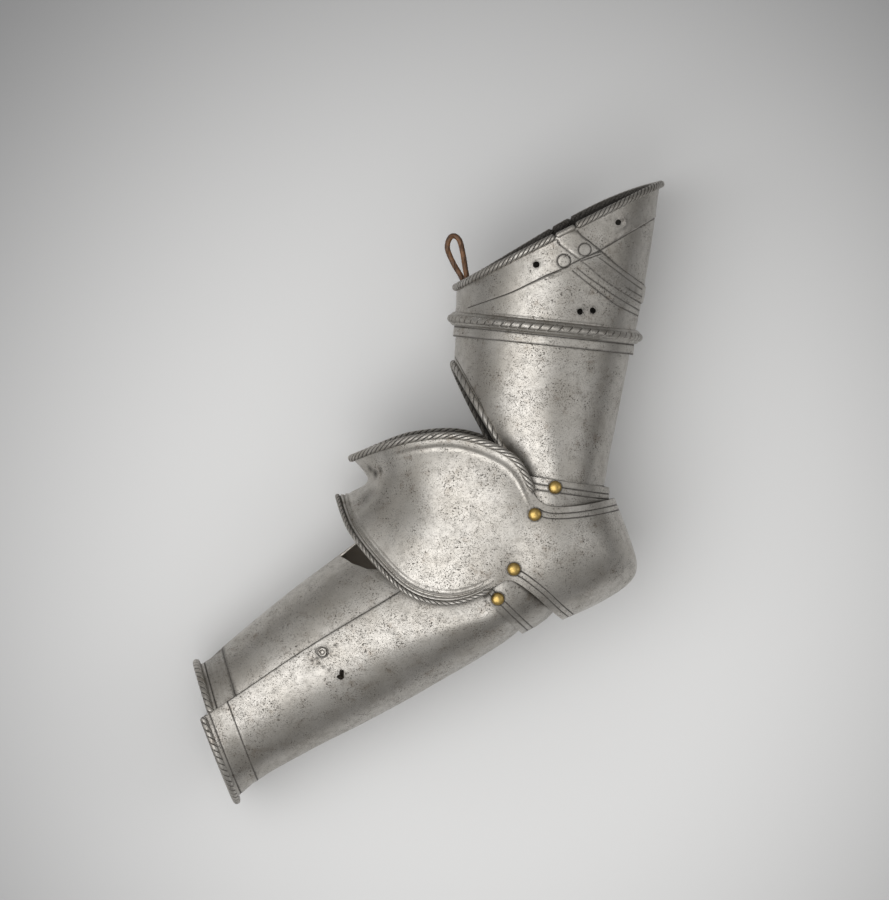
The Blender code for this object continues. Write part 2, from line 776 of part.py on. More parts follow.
def rest_matrix(objects):
    """The turn and lift that lay the harness on the three points round its balance point."""
    graph = bpy.context.evaluated_depsgraph_get()
    bm = bmesh.new()
    for obj in objects:
        evaluated = obj.evaluated_get(graph)
        mesh = evaluated.to_mesh()
        for vertex in mesh.vertices:
            bm.verts.new(obj.matrix_world @ vertex.co)
        evaluated.to_mesh_clear()
    points = [vertex.co.copy() for vertex in bm.verts]
    bmesh.ops.convex_hull(bm, input=bm.verts)
    bmesh.ops.triangulate(bm, faces=bm.faces)
    down = Vector((0, 0, -1))
    footing = down
    widest = 0
    for face in bm.faces:
        corners = [vertex.co for vertex in face.verts]
        under = intersect_ray_tri(*corners, face.normal, BALANCE * MM, True)
        if under and face.normal.z < -0.9 and face.calc_area() > widest:
            widest = face.calc_area()
            footing = face.normal.copy()
    bm.free()
    turn = footing.rotation_difference(down).to_matrix()
    placed = [turn @ point for point in points]
    lows = [min(p[i] for p in placed) for i in range(3)]
    highs = [max(p[i] for p in placed) for i in range(3)]
    foot = Vector(((lows[0] + highs[0]) / 2, (lows[1] + highs[1]) / 2, lows[2]))
    return Matrix.Translation(-foot) @ turn.to_4x4()


def build():
    clear_scene()
    parts = make_collection("arm_harness")
    cutters = make_collection("cutters")
    steels = {}
    for name, colour in (
        ("turner", (0.50, 0.49, 0.47)),
        ("upper_cannon", (0.49, 0.48, 0.46)),
        ("upper_lame", (0.47, 0.46, 0.44)),
        ("couter", (0.52, 0.51, 0.49)),
        ("lower_lame", (0.47, 0.46, 0.44)),
        ("outer_plate", (0.50, 0.49, 0.47)),
        ("inner_plate", (0.46, 0.45, 0.42)),
        ("stud", (0.42, 0.41, 0.38)),
        ("hinge", (0.44, 0.43, 0.41)),
    ):
        steels[name] = make_material(name + "_steel", colour, 1.0, 0.35)
    brass = make_material("brass", (0.60, 0.42, 0.16), 1.0, 0.28)
    leather = make_material("leather", (0.30, 0.13, 0.05), 0.0, 0.6)

    rest = make_empty("harness_rest", Vector((0, 0, 0)), parts)
    elbow = make_empty("couter_body", Vector((0, 0, 0)), parts, rest)
    upper_lame_pivot = make_empty("upper_lame_pivot", PIVOTS["upper_lame"], parts, elbow)
    upper_pivot = make_empty(
        "upper_cannon_pivot", PIVOTS["upper_cannon"], parts, upper_lame_pivot
    )
    swivel = make_empty("turner_swivel", SWIVEL_CENTRE, parts, upper_pivot)
    lower_lame_pivot = make_empty("lower_lame_pivot", PIVOTS["lower_lame"], parts, elbow)
    lower_pivot = make_empty(
        "lower_cannon_pivot", PIVOTS["lower_cannon"], parts, lower_lame_pivot
    )

    hang(build_turner(parts, cutters, steels["turner"]), swivel)
    hang(build_upper_cannon(parts, cutters, steels["upper_cannon"]), upper_pivot)
    upper = [PIVOTS["upper_cannon"], PIVOTS["upper_lame"]]
    steel = steels["upper_lame"]
    lame = build_lame("upper_lame", UPPER_LAME, UPPER_REACH, upper, parts, cutters, steel)
    hang(lame, upper_lame_pivot)
    hang(build_couter(parts, cutters, steels["couter"]), elbow)
    lower = [PIVOTS["lower_lame"], PIVOTS["lower_cannon"]]
    steel = steels["lower_lame"]
    lame = build_lame("lower_lame", LOWER_LAME, LOWER_REACH, lower, parts, cutters, steel)
    hang(lame, lower_lame_pivot)
    hang(build_outer_plate(parts, cutters, steels["outer_plate"]), lower_pivot)
    hang(build_inner_plate(parts, cutters, steels["inner_plate"]), lower_pivot)
    hang(build_loop(parts, leather), swivel)

    for name, pivot, owner, outer, inner in (
        ("rivet_1", "upper_cannon", upper_lame_pivot, UPPER_LAME, CANNON_TUBE),
        ("rivet_2", "upper_lame", elbow, None, UPPER_LAME),
        ("rivet_3", "lower_lame", elbow, None, LOWER_LAME),
        ("rivet_4", "lower_cannon", lower_lame_pivot, LOWER_LAME, FOREARM),
    ):
        at = PIVOTS[pivot]
        height = max(side_heights(outer, at, RIVET_HEAD)) + RIVET_PLAY
        inside = min(side_heights(inner, at, WASHER_RADIUS)) - PLATE - LEAN_ROOM - RIVET_PLAY
        for side, sign in (("near", 1), ("far", -1)):
            rivet = build_rivet(name + "_" + side, height - inside, parts, brass)
            place = Vector((at.x, at.y, sign * height))
            outward = Vector((0, 0, sign))
            hang(rivet, owner, frame_on(place, Vector((1, 0, 0)), outward))

    stud = build_stud(parts, steels["stud"])
    near = seam_angle(STUD_RING) - STUD_INSET
    hang(stud, lower_pivot, forearm_frame(STUD_RING, near, 0))
    hinge = build_hinge(parts, cutters, steels["hinge"])
    far = -seam_angle(HINGE_RING)
    hang(hinge, lower_pivot, forearm_frame(HINGE_RING, far, PLATE / 2 + HINGE_GAP))

    bpy.context.view_layer.update()
    pieces = [obj for obj in parts.objects if obj.type == "MESH"]
    rest.matrix_basis = rest_matrix(pieces)
    bpy.context.view_layer.update()


build()
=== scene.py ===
"""The looks of a plate harness for one arm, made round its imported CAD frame.

Shapes are drawn in the arm frame, in millimetres: X and Y span the plane in which the elbow
bends and Z is the elbow's axis, towards the near side. place() takes them to the row frame.
"""

import json
import math
from collections import namedtuple

import bmesh
import bpy
import numpy as np
from mathutils import Matrix, Vector
from mathutils.bvhtree import BVHTree
from mathutils.kdtree import KDTree


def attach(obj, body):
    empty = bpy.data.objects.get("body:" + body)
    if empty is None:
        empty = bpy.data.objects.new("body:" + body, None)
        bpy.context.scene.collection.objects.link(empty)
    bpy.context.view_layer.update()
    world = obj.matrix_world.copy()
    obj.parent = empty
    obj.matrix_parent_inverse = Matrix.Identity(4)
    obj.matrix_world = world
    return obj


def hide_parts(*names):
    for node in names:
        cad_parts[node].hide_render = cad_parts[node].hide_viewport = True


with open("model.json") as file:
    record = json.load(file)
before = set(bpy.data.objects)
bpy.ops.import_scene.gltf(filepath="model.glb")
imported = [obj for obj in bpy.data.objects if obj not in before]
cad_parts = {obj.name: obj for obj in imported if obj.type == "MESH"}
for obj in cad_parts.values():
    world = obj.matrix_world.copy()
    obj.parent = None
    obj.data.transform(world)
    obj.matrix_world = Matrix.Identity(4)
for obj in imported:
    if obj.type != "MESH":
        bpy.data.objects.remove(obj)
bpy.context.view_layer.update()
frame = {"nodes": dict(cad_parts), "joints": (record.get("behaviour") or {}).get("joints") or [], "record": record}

MM = 0.001

# Sheet steel, mm
PLATE = 1.2
LAME_PLATE = 1.0
SEAM_GAP = 0.5
ROLL_LIFT = 1.0

# Turning joint between the turner and the upper cannon, mm
SWIVEL_CENTRE = np.array((68.3, 83.0, 0.0))
SWIVEL_LEAN = math.radians(5.9)
BEAD_RADIUS = 66.4
BEAD_HALF = 4.7
NECK_RISE = 1.4
TURNER_RADIUS = 61.7
CANNON_RADIUS = 59.3
FLANGE_RADIUS = 64.3
BAND_DROP = 11.9
RIM_FAR_RISE = 11.0
# The flange inside the bead and the neck under it: height over the bead's middle, and radius
FLANGE = [
    (0.6, FLANGE_RADIUS),
    (0.6, CANNON_RADIUS + 0.9),
    (0.3, CANNON_RADIUS + 0.2),
    (-1.4, CANNON_RADIUS),
]

# Elbow pivots in the bending plane, mm
PIVOTS = {
    "upper_cannon": (74.7, -24.9, 0.0),
    "upper_lame": (61.0, -43.2, 0.0),
    "lower_lame": (46.9, -80.2, 0.0),
    "lower_cannon": (36.0, -100.3, 0.0),
}

# Rivets and closing stud, mm
RIVET_HEAD = 4.4
RIVET_RISE = 3.0
RIVET_HOLE = 2.0
THROUGH = -100  # the depth of a hole that goes through the far side too
STUD_HOLE = 4.4
STUD_RING = 4.31
STUD_INSET = math.radians(9)

# Roped edges, mm
ROPE_RADIUS = 2.5
STRANDS = 3
STRAND_PITCH = 4.7  # from one cut to the next along the roll
CUT_DEPTH = 0.5
ROPE_STEP = 0.8

# How fine the plates are: points round and rows down each grid
TURNER_COLS = 320
UPPER_ROWS = 58  # above the turner's bead
CANNON_COLS, CANNON_ROWS = 280, 70
LAME_COLS, LAME_ROWS = 250, 28
COUTER_HALF = 165  # points from the elbow to the front, on each side
TOP_ROWS, MIDDLE_ROWS, LOW_ROWS = 18, 53, 30
FINE_ZONE = 12.6  # how far from the couter's edges its rows are finer, mm
OUTER_COLS, OUTER_ROWS = 160, 180
INNER_COLS, INNER_ROWS = (62, 70), 165  # before and after the cut's end

# Engraved lines, mm
LINE_HALF = 0.5
LINE_DEPTH = 0.32
EDGE_LINES = (4.4, 8.2)  # a pair of lines follows a plain edge at these distances

# A ring is an oblique oval section: its front and back points in the bending plane, the
# distance from that plane to its side, and where it is widest, from 0 at its front to 1.
TURNER_TOP = [
    (8.4, 111.0, 146.4, 180.4, 62.0, 0.5),
    (8.0, 104.0, 141.6, 147.0, 62.6, 0.5),
    (8.0, 98.5, 136.4, 114.0, 62.4, 0.5),
]
CANNON_TUBE = [
    (7.3, 74.5, 125.6, 63.2, 59.2, 0.5),
    (6.4, 48.0, 121.0, 40.0, 58.2, 0.5),
    (8.5, 20.0, 116.6, 18.0, 57.0, 0.53),
    (15.0, -6.0, 111.6, -6.0, 55.4, 0.58),
    (21.0, -23.0, 108.2, -25.0, 54.2, 0.62),
    (24.0, -36.5, 101.5, -36.5, 52.0, 0.64),
]
UPPER_LAME = [
    (10.0, -10.4, 112.2, -25.6, 58.2, 0.607),
    (8.0, -31.0, 112.0, -31.0, 58.0, 0.6),
    (5.0, -42.0, 110.6, -42.0, 57.6, 0.58),
    (5.0, -53.0, 105.6, -52.0, 56.4, 0.57),
]
LOWER_LAME = [
    (0.0, -62.0, 83.0, -97.0, 56.0, 0.5),
    (5.0, -73.4, 75.0, -109.0, 57.0, 0.5),
    (8.0, -80.0, 65.0, -118.0, 57.4, 0.5),
    (8.0, -81.2, 53.0, -125.0, 57.6, 0.5),
]
UPPER_REACH = math.radians(111)
LOWER_REACH = math.radians(104)
FOREARM = [
    (-38.0, -45.0, 58.0, -108.0, 52.6, 0.79),
    (-43.0, -50.0, 49.6, -123.4, 53.8, 0.80),
    (-52.0, -56.8, 22.5, -142.1, 53.4, 0.70),
    (-69.0, -70.0, -17.3, -165.2, 51.4, 0.58),
    (-93.0, -87.0, -49.7, -182.9, 48.6, 0.53),
    (-121.0, -109.0, -84.0, -200.2, 45.6, 0.5),
    (-148.6, -132.3, -121.0, -220.6, 43.4, 0.5),
    (-168.4, -145.6, -139.4, -236.6, 44.4, 0.5),
]
OUTER_RIM = (-175.6, -149.6, -141.6, -237.4, 44.8, 0.5)
SEAM_SHARE = (0.41, 0.354)
SEAM_LAP = math.radians(15)
SEAM_BUTT = math.radians(1.2)
SEAM_DROP = PLATE + SEAM_GAP
CUFF_DROP = 0.9  # how much deeper the smaller plate lies at the cuff
# Behind the cuff's rolls: how far from its end each plate steps down and has its lines
OUTER_STEP, OUTER_LINES = 19.5, (19.8, 5.2)
INNER_STEP, INNER_LINES = 21.0, (20.6, 5.0)
SEAM_POINTS = 900
# Painted shadow in the gap beside the seam: how many of its points, counted from the cuff, its radius and amount
SEAM_SHADOW = [(SEAM_POINTS, 2.1, 1.6), (171, 2.5, 2.4), (117, 3.2, 3.0), (15, 5.2, 3.0)]

# The lower edge of the upper cannon, cut away in a V at the inner elbow
CANNON_EDGE = [
    (7.0, 57.8), (37.0, 5.2), (51.0, -20.0), (58.0, -33.0), (68.0, -36.4),
    (112.0, -36.4),
]
CUT_FAR_DROP = 11.0

# Where the smaller forearm plate starts: degrees round it, and the place down the rings
ELBOW_CUT = [
    (80.0, 0.0), (122.0, 0.0), (129.0, 2.1), (140.0, 2.65), (152.0, 2.92),
    (168.0, 3.08), (178.0, 3.1), (181.0, 0.0), (360.0, 0.0),
]

# A rib of the couter: its upper edge, its middle, its lower edge, and how far each half
# swells. From the point of the elbow round the near side to the front.
COUTER_HEART = np.array((45.0, -58.0, 0.0))
COUTER_RIBS = [
    (116.0, -32.8, 0.0, 131.6, -85.0, 0.0, 80.6, -115.6, 0.0, 2.4, 4.0),
    (114.0, -33.2, 18.2, 126.6, -81.0, 19.0, 79.2, -114.4, 18.0, 2.0, 4.2),
    (106.4, -34.8, 37.0, 110.6, -74.6, 43.0, 73.6, -109.8, 37.0, 2.0, 4.0),
    (93.0, -37.2, 51.6, 88.0, -67.6, 58.0, 65.0, -101.4, 50.6, 1.5, 3.0),
    (77.0, -38.6, 59.8, 68.0, -62.4, 62.2, 54.0, -92.6, 57.6, 1.4, 1.4),
    (62.6, -36.0, 61.4, 53.6, -60.0, 62.8, 43.4, -85.8, 59.6, 0.3, 0.3),
    (54.6, -16.4, 62.2, 41.0, -54.0, 63.8, 33.6, -92.4, 61.2, 0.8, 0.8),
    (43.2, -2.7, 62.4, 21.0, -47.6, 63.8, 7.0, -102.9, 61.6, 1.6, 1.8),
    (12.0, 9.2, 59.6, -6.0, -41.4, 60.0, -22.0, -97.4, 58.6, 2.4, 2.6),
    (-18.0, 7.8, 51.0, -26.0, -34.0, 48.0, -44.0, -77.6, 50.4, 1.6, 2.0),
    (-43.0, 1.4, 34.0, -42.0, -25.4, 30.0, -63.0, -53.4, 35.0, 0.0, 1.0),
    (-62.4, -6.0, 0.0, -49.4, -21.4, 0.0, -71.4, -31.6, 0.0, -1.0, -1.0),
]
# Places along it are counted in ribs: the wing begins near 5, and its front near 8.5
COUTER_LAST = len(COUTER_RIBS) - 1
TOP_ROPE_START = 5.35
FAR_WING_RISE = 2.2
LOW_ROPE_START = 6.05
TOP_RIDGE = 8.2  # a soft ridge inside the wing's upper edge
# Inside its lower edge: two ridges and two grooves, by distance, height and half-width
LOW_RIDGES = ((1.8, 1.1, 2.0), (3.6, -0.25, 0.8), (4.9, 0.5, 1.2), (7.2, -0.45, 2.4))

LOOP_THICK = 3.7
# Points of the thong's middle
LOOP_PATH = [
    (13.6, 99.0, 5.0), (13.4, 108.0, 5.5), (12.2, 116.0, 6.5), (6.0, 127.0, 7.0),
    (2.0, 137.0, 7.0), (3.6, 144.0, 7.0), (7.0, 145.4, 7.0), (10.4, 142.0, 7.0),
    (12.6, 133.0, 7.5), (14.4, 122.0, 9.0), (16.4, 111.0, 10.6), (17.4, 100.0, 11.0),
]

# Marks on the turner's near side, drawn in the bending plane
RIM_LINE = [
    (16.0, 96.6), (24.1, 99.4), (32.6, 102.4), (45.4, 107.0), (58.1, 113.0),
    (68.3, 118.1), (76.8, 121.5), (90.4, 128.3), (104.9, 135.1), (119.3, 143.4),
    (129.5, 149.4), (144.0, 158.1),
]
BAND_LOW = [
    (76.0, 141.6), (77.7, 138.8), (83.6, 134.3), (90.4, 129.2), (96.4, 124.9),
    (102.3, 119.8), (109.1, 114.3), (117.6, 108.8), (126.1, 103.7), (133.8, 99.4),
]
BAND_HIGH = [
    (89.8, 148.6), (92.0, 145.9), (98.1, 141.1), (105.7, 135.1), (114.2, 127.5),
    (121.9, 121.5), (130.4, 115.6), (135.5, 112.2),
]
BAND_ENDS = ((146.0, 91.5), (146.0, 105.0))  # where the band meets the turner's back
TURNER_LINES = [
    BAND_LOW,
    BAND_HIGH,
    [(86.6, 121.5), (92.1, 116.9), (100.6, 110.1), (109.1, 103.7), (117.6, 97.7), (132.9, 90.5)],
    [(89.6, 123.2), (96.4, 117.7), (104.9, 111.8), (113.4, 105.8), (120.2, 101.6), (133.2, 94.3)],
    [(104.9, 130.0), (114.2, 123.2), (124.4, 115.6), (134.2, 109.0)],
    [(122.7, 110.5), (134.0, 104.0)],
    [(91.3, 129.2), (105.7, 134.4)],
    [(92.1, 127.9), (105.7, 132.6)],
]
# Notches in the rim's roll, near and far; between the first two it's plain
RIM_MARKS = [(76.5, 141.4, 62), (89.8, 148.6, 62), (73.8, 150.6, -62), (86.0, 157.6, -62)]
BACK_SAG = 0.4  # how far the lines drop from the sides to the middle of the back
Spot = namedtuple("Spot", "x y radius")
FLUSH_RIVETS = [Spot(94.8, 135.6, 4.3), Spot(80.7, 128.0, 4.5)]
TURNER_HOLES = [
    Spot(61.9, 125.5, 2.3),
    Spot(117.5, 154.2, 2.0),
    Spot(91.5, 93.8, 2.1),
    Spot(100.2, 94.5, 2.1),
]
DIMPLE = Spot(95.8, 94.0, 5.0)
RIVETS = {name: Spot(x, y, RIVET_HEAD) for name, (x, y, _) in PIVOTS.items()}
WORN_SPOT = Spot(104.9, 123.4, 8.0)
DENT = Spot(-46.0, -16.0, 7.0)
# Painted shade on the wing, in the dent below its notch and over the hollow beneath: where, how wide and how dark
WING_SHADE = [
    (-50.5, -12.6, 4.2, 0.9), (-47.0, -15.8, 4.8, 1.0), (-43.4, -13.6, 3.8, 0.8),
    (-53.0, -32.0, 11.0, 0.5),
]
# The torn hole beside the stud: where it is, and its outline from there
CANNON_HOLE = (-70.1, -152.3)
HOLE_OUTLINE = [(-0.6, 3.9), (0.5, 3.6), (1.6, 4.0), (2.2, 2.6), (2.0, 1.0), (2.3, -0.6),
                (1.9, -2.0), (0.9, -3.0), (-0.8, -2.7), (-2.2, -2.0), (-3.0, -0.9),
                (-2.4, 0.1), (-1.1, 0.6), (-1.2, 2.2)]
# Brown stains beside the stud: where from it, how wide and how dark
STUD_STAINS = [
    (-9.3, -1.8, 1.3, 0.6), (-7.2, -5.5, 1.7, 0.9), (-5.2, -4.6, 1.2, 0.7),
    (-2.7, -7.6, 1.6, 0.8), (-0.6, -8.2, 1.1, 0.6), (0.9, -9.9, 1.5, 0.9),
    (4.5, -11.7, 1.3, 0.7), (5.6, 0.7, 1.3, 0.8), (9.0, 4.7, 2.0, 0.6),
    (-4.6, 1.8, 1.5, 0.8), (-3.4, -4.0, 1.5, 0.9),
]


# --- Curves and sections ---------------------------------------------------------------


def unit(vectors):
    return vectors / np.maximum(np.linalg.norm(vectors, axis=-1, keepdims=True), 1e-9)


def smooth(values):
    """A soft step from 0 to 1."""
    t = np.clip(values, 0, 1)
    return t * t * (3 - 2 * t)


def bump(values):
    """A soft hump: 1 at 0, and 0 from 1 on."""
    return smooth(1 - np.abs(values))


def hermite(before, here, there, after, f):
    slope_here = (there - before) / 2
    slope_there = (after - here) / 2
    bend = (2 * here - 2 * there + slope_here + slope_there) * f**3
    turn = (-3 * here + 3 * there - 2 * slope_here - slope_there) * f**2
    return bend + turn + slope_here * f + here


def through(table, at):
    """A smooth curve through a table's rows, at places counted in rows."""
    table = np.asarray(table, float)
    at = np.asarray(at, float)
    last = len(table) - 1
    i = np.clip(at.astype(int), 0, last - 1)
    f = (at - i)[..., None]
    here = table[i]
    there = table[i + 1]
    start = (i == 0)[..., None]
    end = (i + 1 == last)[..., None]
    before = np.where(start, 2 * here - there, table[np.maximum(i - 1, 0)])
    after = np.where(end, 2 * there - here, table[np.minimum(i + 2, last)])
    return hermite(before, here, there, after, f)


def ring_points(rings, angle, near_drop=0.0):
    """Points of rings: angle 0 is the back, 90 degrees the near side, 180 the front."""
    front_x, front_y, back_x, back_y, side, widest = np.moveaxis(rings, -1, 0)
    c = np.cos(angle)
    w = np.sin(angle)
    depth = np.where(w > 0, side - near_drop, side)
    share = widest + c * np.where(c > 0, 1 - widest, widest)
    x = front_x + (back_x - front_x) * share
    y = front_y + (back_y - front_y) * share
    return np.stack(np.broadcast_arrays(x, y, depth * w), -1)


def far_side(angle):
    return np.maximum(0.0, -np.sin(angle))


def rim_rise(angle):
    """How much higher the turner's rim is on its far side, most of all towards the back."""
    return RIM_FAR_RISE * far_side(angle) ** 2 * (0.55 + 0.45 * np.cos(angle))


def swivel_ring(rise, radius):
    """A round ring about the upper arm's axis, at a height over the bead's middle."""
    axis = np.array((math.sin(SWIVEL_LEAN), math.cos(SWIVEL_LEAN)))
    across = np.array((axis[1], -axis[0])) * radius
    middle = SWIVEL_CENTRE[:2] + axis * rise
    return (*(middle - across), *(middle + across), radius, 0.5)


def curve(line, count):
    """A smooth curve through the points of a line."""
    return through(line, np.linspace(0, len(line) - 1, count))


def full_turn(count):
    return np.arange(count) * (2 * math.pi / count)


def nearest(points, point):
    """Which of some points is nearest to another."""
    return np.argmin(np.linalg.norm(points - point, axis=1))


def run_lengths(points):
    """How far along a line each of its points is."""
    steps = np.linalg.norm(np.diff(points, axis=0), axis=1)
    return np.concatenate([[0], np.cumsum(steps)])


def read_line(points, lengths, places):
    """A line's points at places along it."""
    return np.stack([np.interp(places, lengths, column) for column in points.T], -1)


def resample(points, step):
    """Points evenly along a line, about step apart."""
    points = np.asarray(points, float)
    lengths = run_lengths(points)
    count = max(2, round(lengths[-1] / step) + 1)
    return read_line(points, lengths, np.linspace(0, lengths[-1], count))


def even_places(surface, end, count):
    """Places from 0 to end that lie evenly along surface(place), an array of points."""
    places = np.linspace(0, end, 200)
    lines = np.stack([surface(place) for place in places])
    steps = np.linalg.norm(np.diff(lines, axis=0), axis=-1).mean(axis=1)
    lengths = np.concatenate([[0], np.cumsum(steps)])
    return np.interp(np.linspace(0, lengths[-1], count), lengths, places)


def down_lengths(grid):
    """How far down its column each point of a grid is, from the first row."""
    steps = np.linalg.norm(np.diff(grid, axis=0), axis=2)
    return np.vstack([np.zeros((1, grid.shape[1])), np.cumsum(steps, axis=0)])


def column_points(grid, distances):
    """Points of each column at given distances from its top, one row for each distance."""
    lengths = down_lengths(grid)
    columns = [read_line(grid[:, k], lengths[:, k], distances[:, k])
               for k in range(grid.shape[1])]
    return np.stack(columns, axis=1)


def edge_line(grid, distance, from_end=False):
    """A line that follows the first or last row of a grid at a distance."""
    total = down_lengths(grid)[-1:]
    wanted = total - distance if from_end else np.full_like(total, distance)
    return column_points(grid, wanted)[0]


def blurred(grid, spread, axis, wrap):
    """A grid made smoother along an axis; without wrap its first and last lines stay."""
    reach = round(spread * 3)
    kernel = np.exp(-0.5 * (np.arange(-reach, reach + 1) / spread) ** 2)
    pad = [(0, 0)] * grid.ndim
    pad[axis] = (reach, reach)
    looks = {"mode": "wrap"} if wrap else {"mode": "reflect", "reflect_type": "odd"}
    wide = np.pad(grid, pad, **looks)
    count = grid.shape[axis]
    total = np.zeros_like(grid)
    for k, share in enumerate(kernel / kernel.sum()):
        total += share * np.take(wide, range(k, k + count), axis)
    return total


def change(values, axis, closed):
    """How values change along an axis, whose ends may meet."""
    if closed:
        return np.roll(values, -1, axis) - np.roll(values, 1, axis)
    return np.gradient(values, axis=axis)


def normals_of(grid, closed):
    """Outward normals of a grid whose columns go round the near side from the back."""
    return unit(np.cross(change(grid, 1, closed), change(grid, 0, False)))


def displaced(grid, closed, relief):
    """A grid moved along its outward normals, in mm."""
    return grid + normals_of(grid, closed) * relief[..., None]


def hammered(points, seed, height=0.07):
    """A gentle unevenness left by the hammer, in mm: waves in many directions."""
    rng = np.random.default_rng(seed)
    total = np.zeros(points.shape[:-1])
    for size, share in ((46, 0.6), (27, 0.4), (13, 0.13), (7.5, 0.05)):
        for _ in range(7):
            way = unit(rng.normal(size=3)) * (2 * math.pi / (size * rng.uniform(0.75, 1.3)))
            total += share * np.sin(points @ way + rng.uniform(0, 2 * math.pi))
    return total * height / 2.6


# --- Meshes ----------------------------------------------------------------------------


def arm_matrix():
    """The arm frame in the row frame, from two pivots and the elbow's axis."""
    joints = {joint["child"]: joint for joint in frame["joints"]}
    names = ("upper_lame", "lower_cannon")
    drawn = [np.array(PIVOTS[name]) * MM for name in names]
    placed = [np.array(joints[name]["pos_m"]) for name in names]
    frames = []
    for pair, axis in ((drawn, (0, 0, 1)), (placed, joints["upper_lame"]["axis"])):
        x = unit(pair[1] - pair[0])
        z = unit(np.array(axis))
        frames.append(np.column_stack([x, np.cross(z, x), z]))
    turn = frames[1] @ frames[0].T
    return turn, placed[0] - turn @ drawn[0]


def place(points):
    """From the arm frame, in mm, to the row frame, in metres."""
    return (np.asarray(points) * MM) @ TURN.T + SHIFT


def arm_points(node):
    """The points of a CAD node in the arm frame, in mm."""
    mesh = frame["nodes"][node].data
    points = np.zeros(len(mesh.vertices) * 3)
    mesh.vertices.foreach_get("co", points)
    return (points.reshape(-1, 3) - SHIFT) @ TURN / MM


def grid_faces(rows, cols, closed):
    """The faces of a grid of points, wound so that they face outward."""
    span = cols if closed else cols - 1
    r, c = np.meshgrid(np.arange(rows - 1), np.arange(span), indexing="ij")
    d = (c + 1) % cols
    corners = (r * cols + c, r * cols + d, (r + 1) * cols + d, (r + 1) * cols + c)
    return np.stack(corners, -1).reshape(-1, 4)


def border_loops(rows, cols, closed):
    """The loops of grid points round the open edges, each with its first inner neighbour."""
    top = [((0, c), (1, c)) for c in range(cols)]
    low = [((rows - 1, c), (rows - 2, c)) for c in range(cols)]
    if closed:
        return [top[::-1], low]
    left = [((r, 0), (r, 1)) for r in range(rows)]
    right = [((r, cols - 1), (r, cols - 2)) for r in range(rows)]
    return [left + low[1:] + right[::-1][1:] + top[::-1][1:-1]]


def blank_mesh():
    """A bmesh whose points say how far inside they are and how much dirt and painted shade they carry, from 0 to
    1.
    """
    bm = bmesh.new()
    inside, dirt_and_shade = (bm.verts.layers.float.new(name) for name in ("inside", "grime_and_shade"))
    return bm, inside, dirt_and_shade


def add_faces(bm, verts, faces):
    for face in faces:
        bm.faces.new([verts[k] for k in face])


def sheet_mesh(grid, closed, thickness):
    """A sheet of steel as a bmesh: outer grid, inner grid and rounded edges."""
    rows, cols = grid.shape[:2]
    inner = grid - normals_of(grid, closed) * thickness
    points = [*grid.reshape(-1, 3), *inner.reshape(-1, 3)]
    count = rows * cols
    faces = grid_faces(rows, cols, closed)
    quads = [*faces.tolist(), *(faces[:, ::-1] + count).tolist()]
    for loop in border_loops(rows, cols, closed):
        first = len(points)
        for (r, c), (rn, cn) in loop:
            middle = (grid[r, c] + inner[r, c]) / 2
            away = unit(grid[r, c] - grid[rn, cn])
            points.append(middle + away * thickness * 0.22)
        ids = [r * cols + c for (r, c), _ in loop]
        for k, a in enumerate(ids):
            j = (k + 1) % len(ids)
            b = ids[j]
            quads.append((a, b, first + j, first + k))
            quads.append((first + k, first + j, b + count, a + count))
    bm, inside, _ = blank_mesh()
    verts = [bm.verts.new(point) for point in points]
    for vert in verts[count : 2 * count]:
        vert[inside] = 1
    add_faces(bm, verts, quads)
    return bm


def tree_of(points):
    tree = KDTree(len(points))
    for k, point in enumerate(points):
        tree.insert(point, k)
    tree.balance()
    return tree


def engrave(bm, lines, half=LINE_HALF, depth=LINE_DEPTH, grime_and_shade=1.0, cuts=2):
    """Cut fine lines into the outer face: the mesh is first made finer beside them."""
    points = np.vstack([resample(line, 0.25) for line in lines])
    tree = tree_of(points)
    inside = bm.verts.layers.float["inside"]
    dirt_and_shade = bm.verts.layers.float["grime_and_shade"]
    reach = half * 2 + 0.5
    near = {v for v in bm.verts if v[inside] < 0.5 and tree.find(v.co)[2] < reach + 0.6}
    edges = {edge for vert in near for edge in vert.link_edges if edge.other_vert(vert) in near}
    bmesh.ops.subdivide_edges(bm, edges=list(edges), cuts=cuts, use_grid_fill=True)
    bm.normal_update()
    moves = []
    for vert in bm.verts:
        if vert[inside] < 0.5:
            distance = tree.find(vert.co)[2]
            if distance < half * 1.9:
                cut = math.exp(-((distance / half) ** 2) * 1.3)
                moves.append((vert, vert.normal * (-depth * cut), cut))
    for vert, move, cut in moves:
        vert.co += move
        vert[dirt_and_shade] = max(vert[dirt_and_shade], grime_and_shade * cut)


def soil_and_shade(bm, centres, radius, amount=1.0):
    """Dirt and painted shade round some points of a surface, fading over a radius."""
    tree = tree_of(centres)
    dirt_and_shade = bm.verts.layers.float["grime_and_shade"]
    for vert in bm.verts:
        distance = tree.find(vert.co)[2]
        if distance < radius:
            vert[dirt_and_shade] = max(vert[dirt_and_shade], min(1.0, amount * (1 - distance / radius)))


def add_object(name, data):
    obj = bpy.data.objects.new(name, data)
    bpy.context.scene.collection.objects.link(obj)
    return obj


def mesh_of(name, bm):
    mesh = bpy.data.meshes.new(name)
    bm.to_mesh(mesh)
    bm.free()
    return mesh


def finish_mesh(name, bm, material, sharp=38):
    """The object of a bmesh drawn in the arm frame."""
    for vert, point in zip(bm.verts, place([vert.co for vert in bm.verts])):
        vert.co = point
    mesh = mesh_of(name, bm)
    mesh.materials.append(material)
    mesh.shade_smooth()
    mesh.set_sharp_from_angle(angle=math.radians(sharp))
    return add_object(name, mesh)


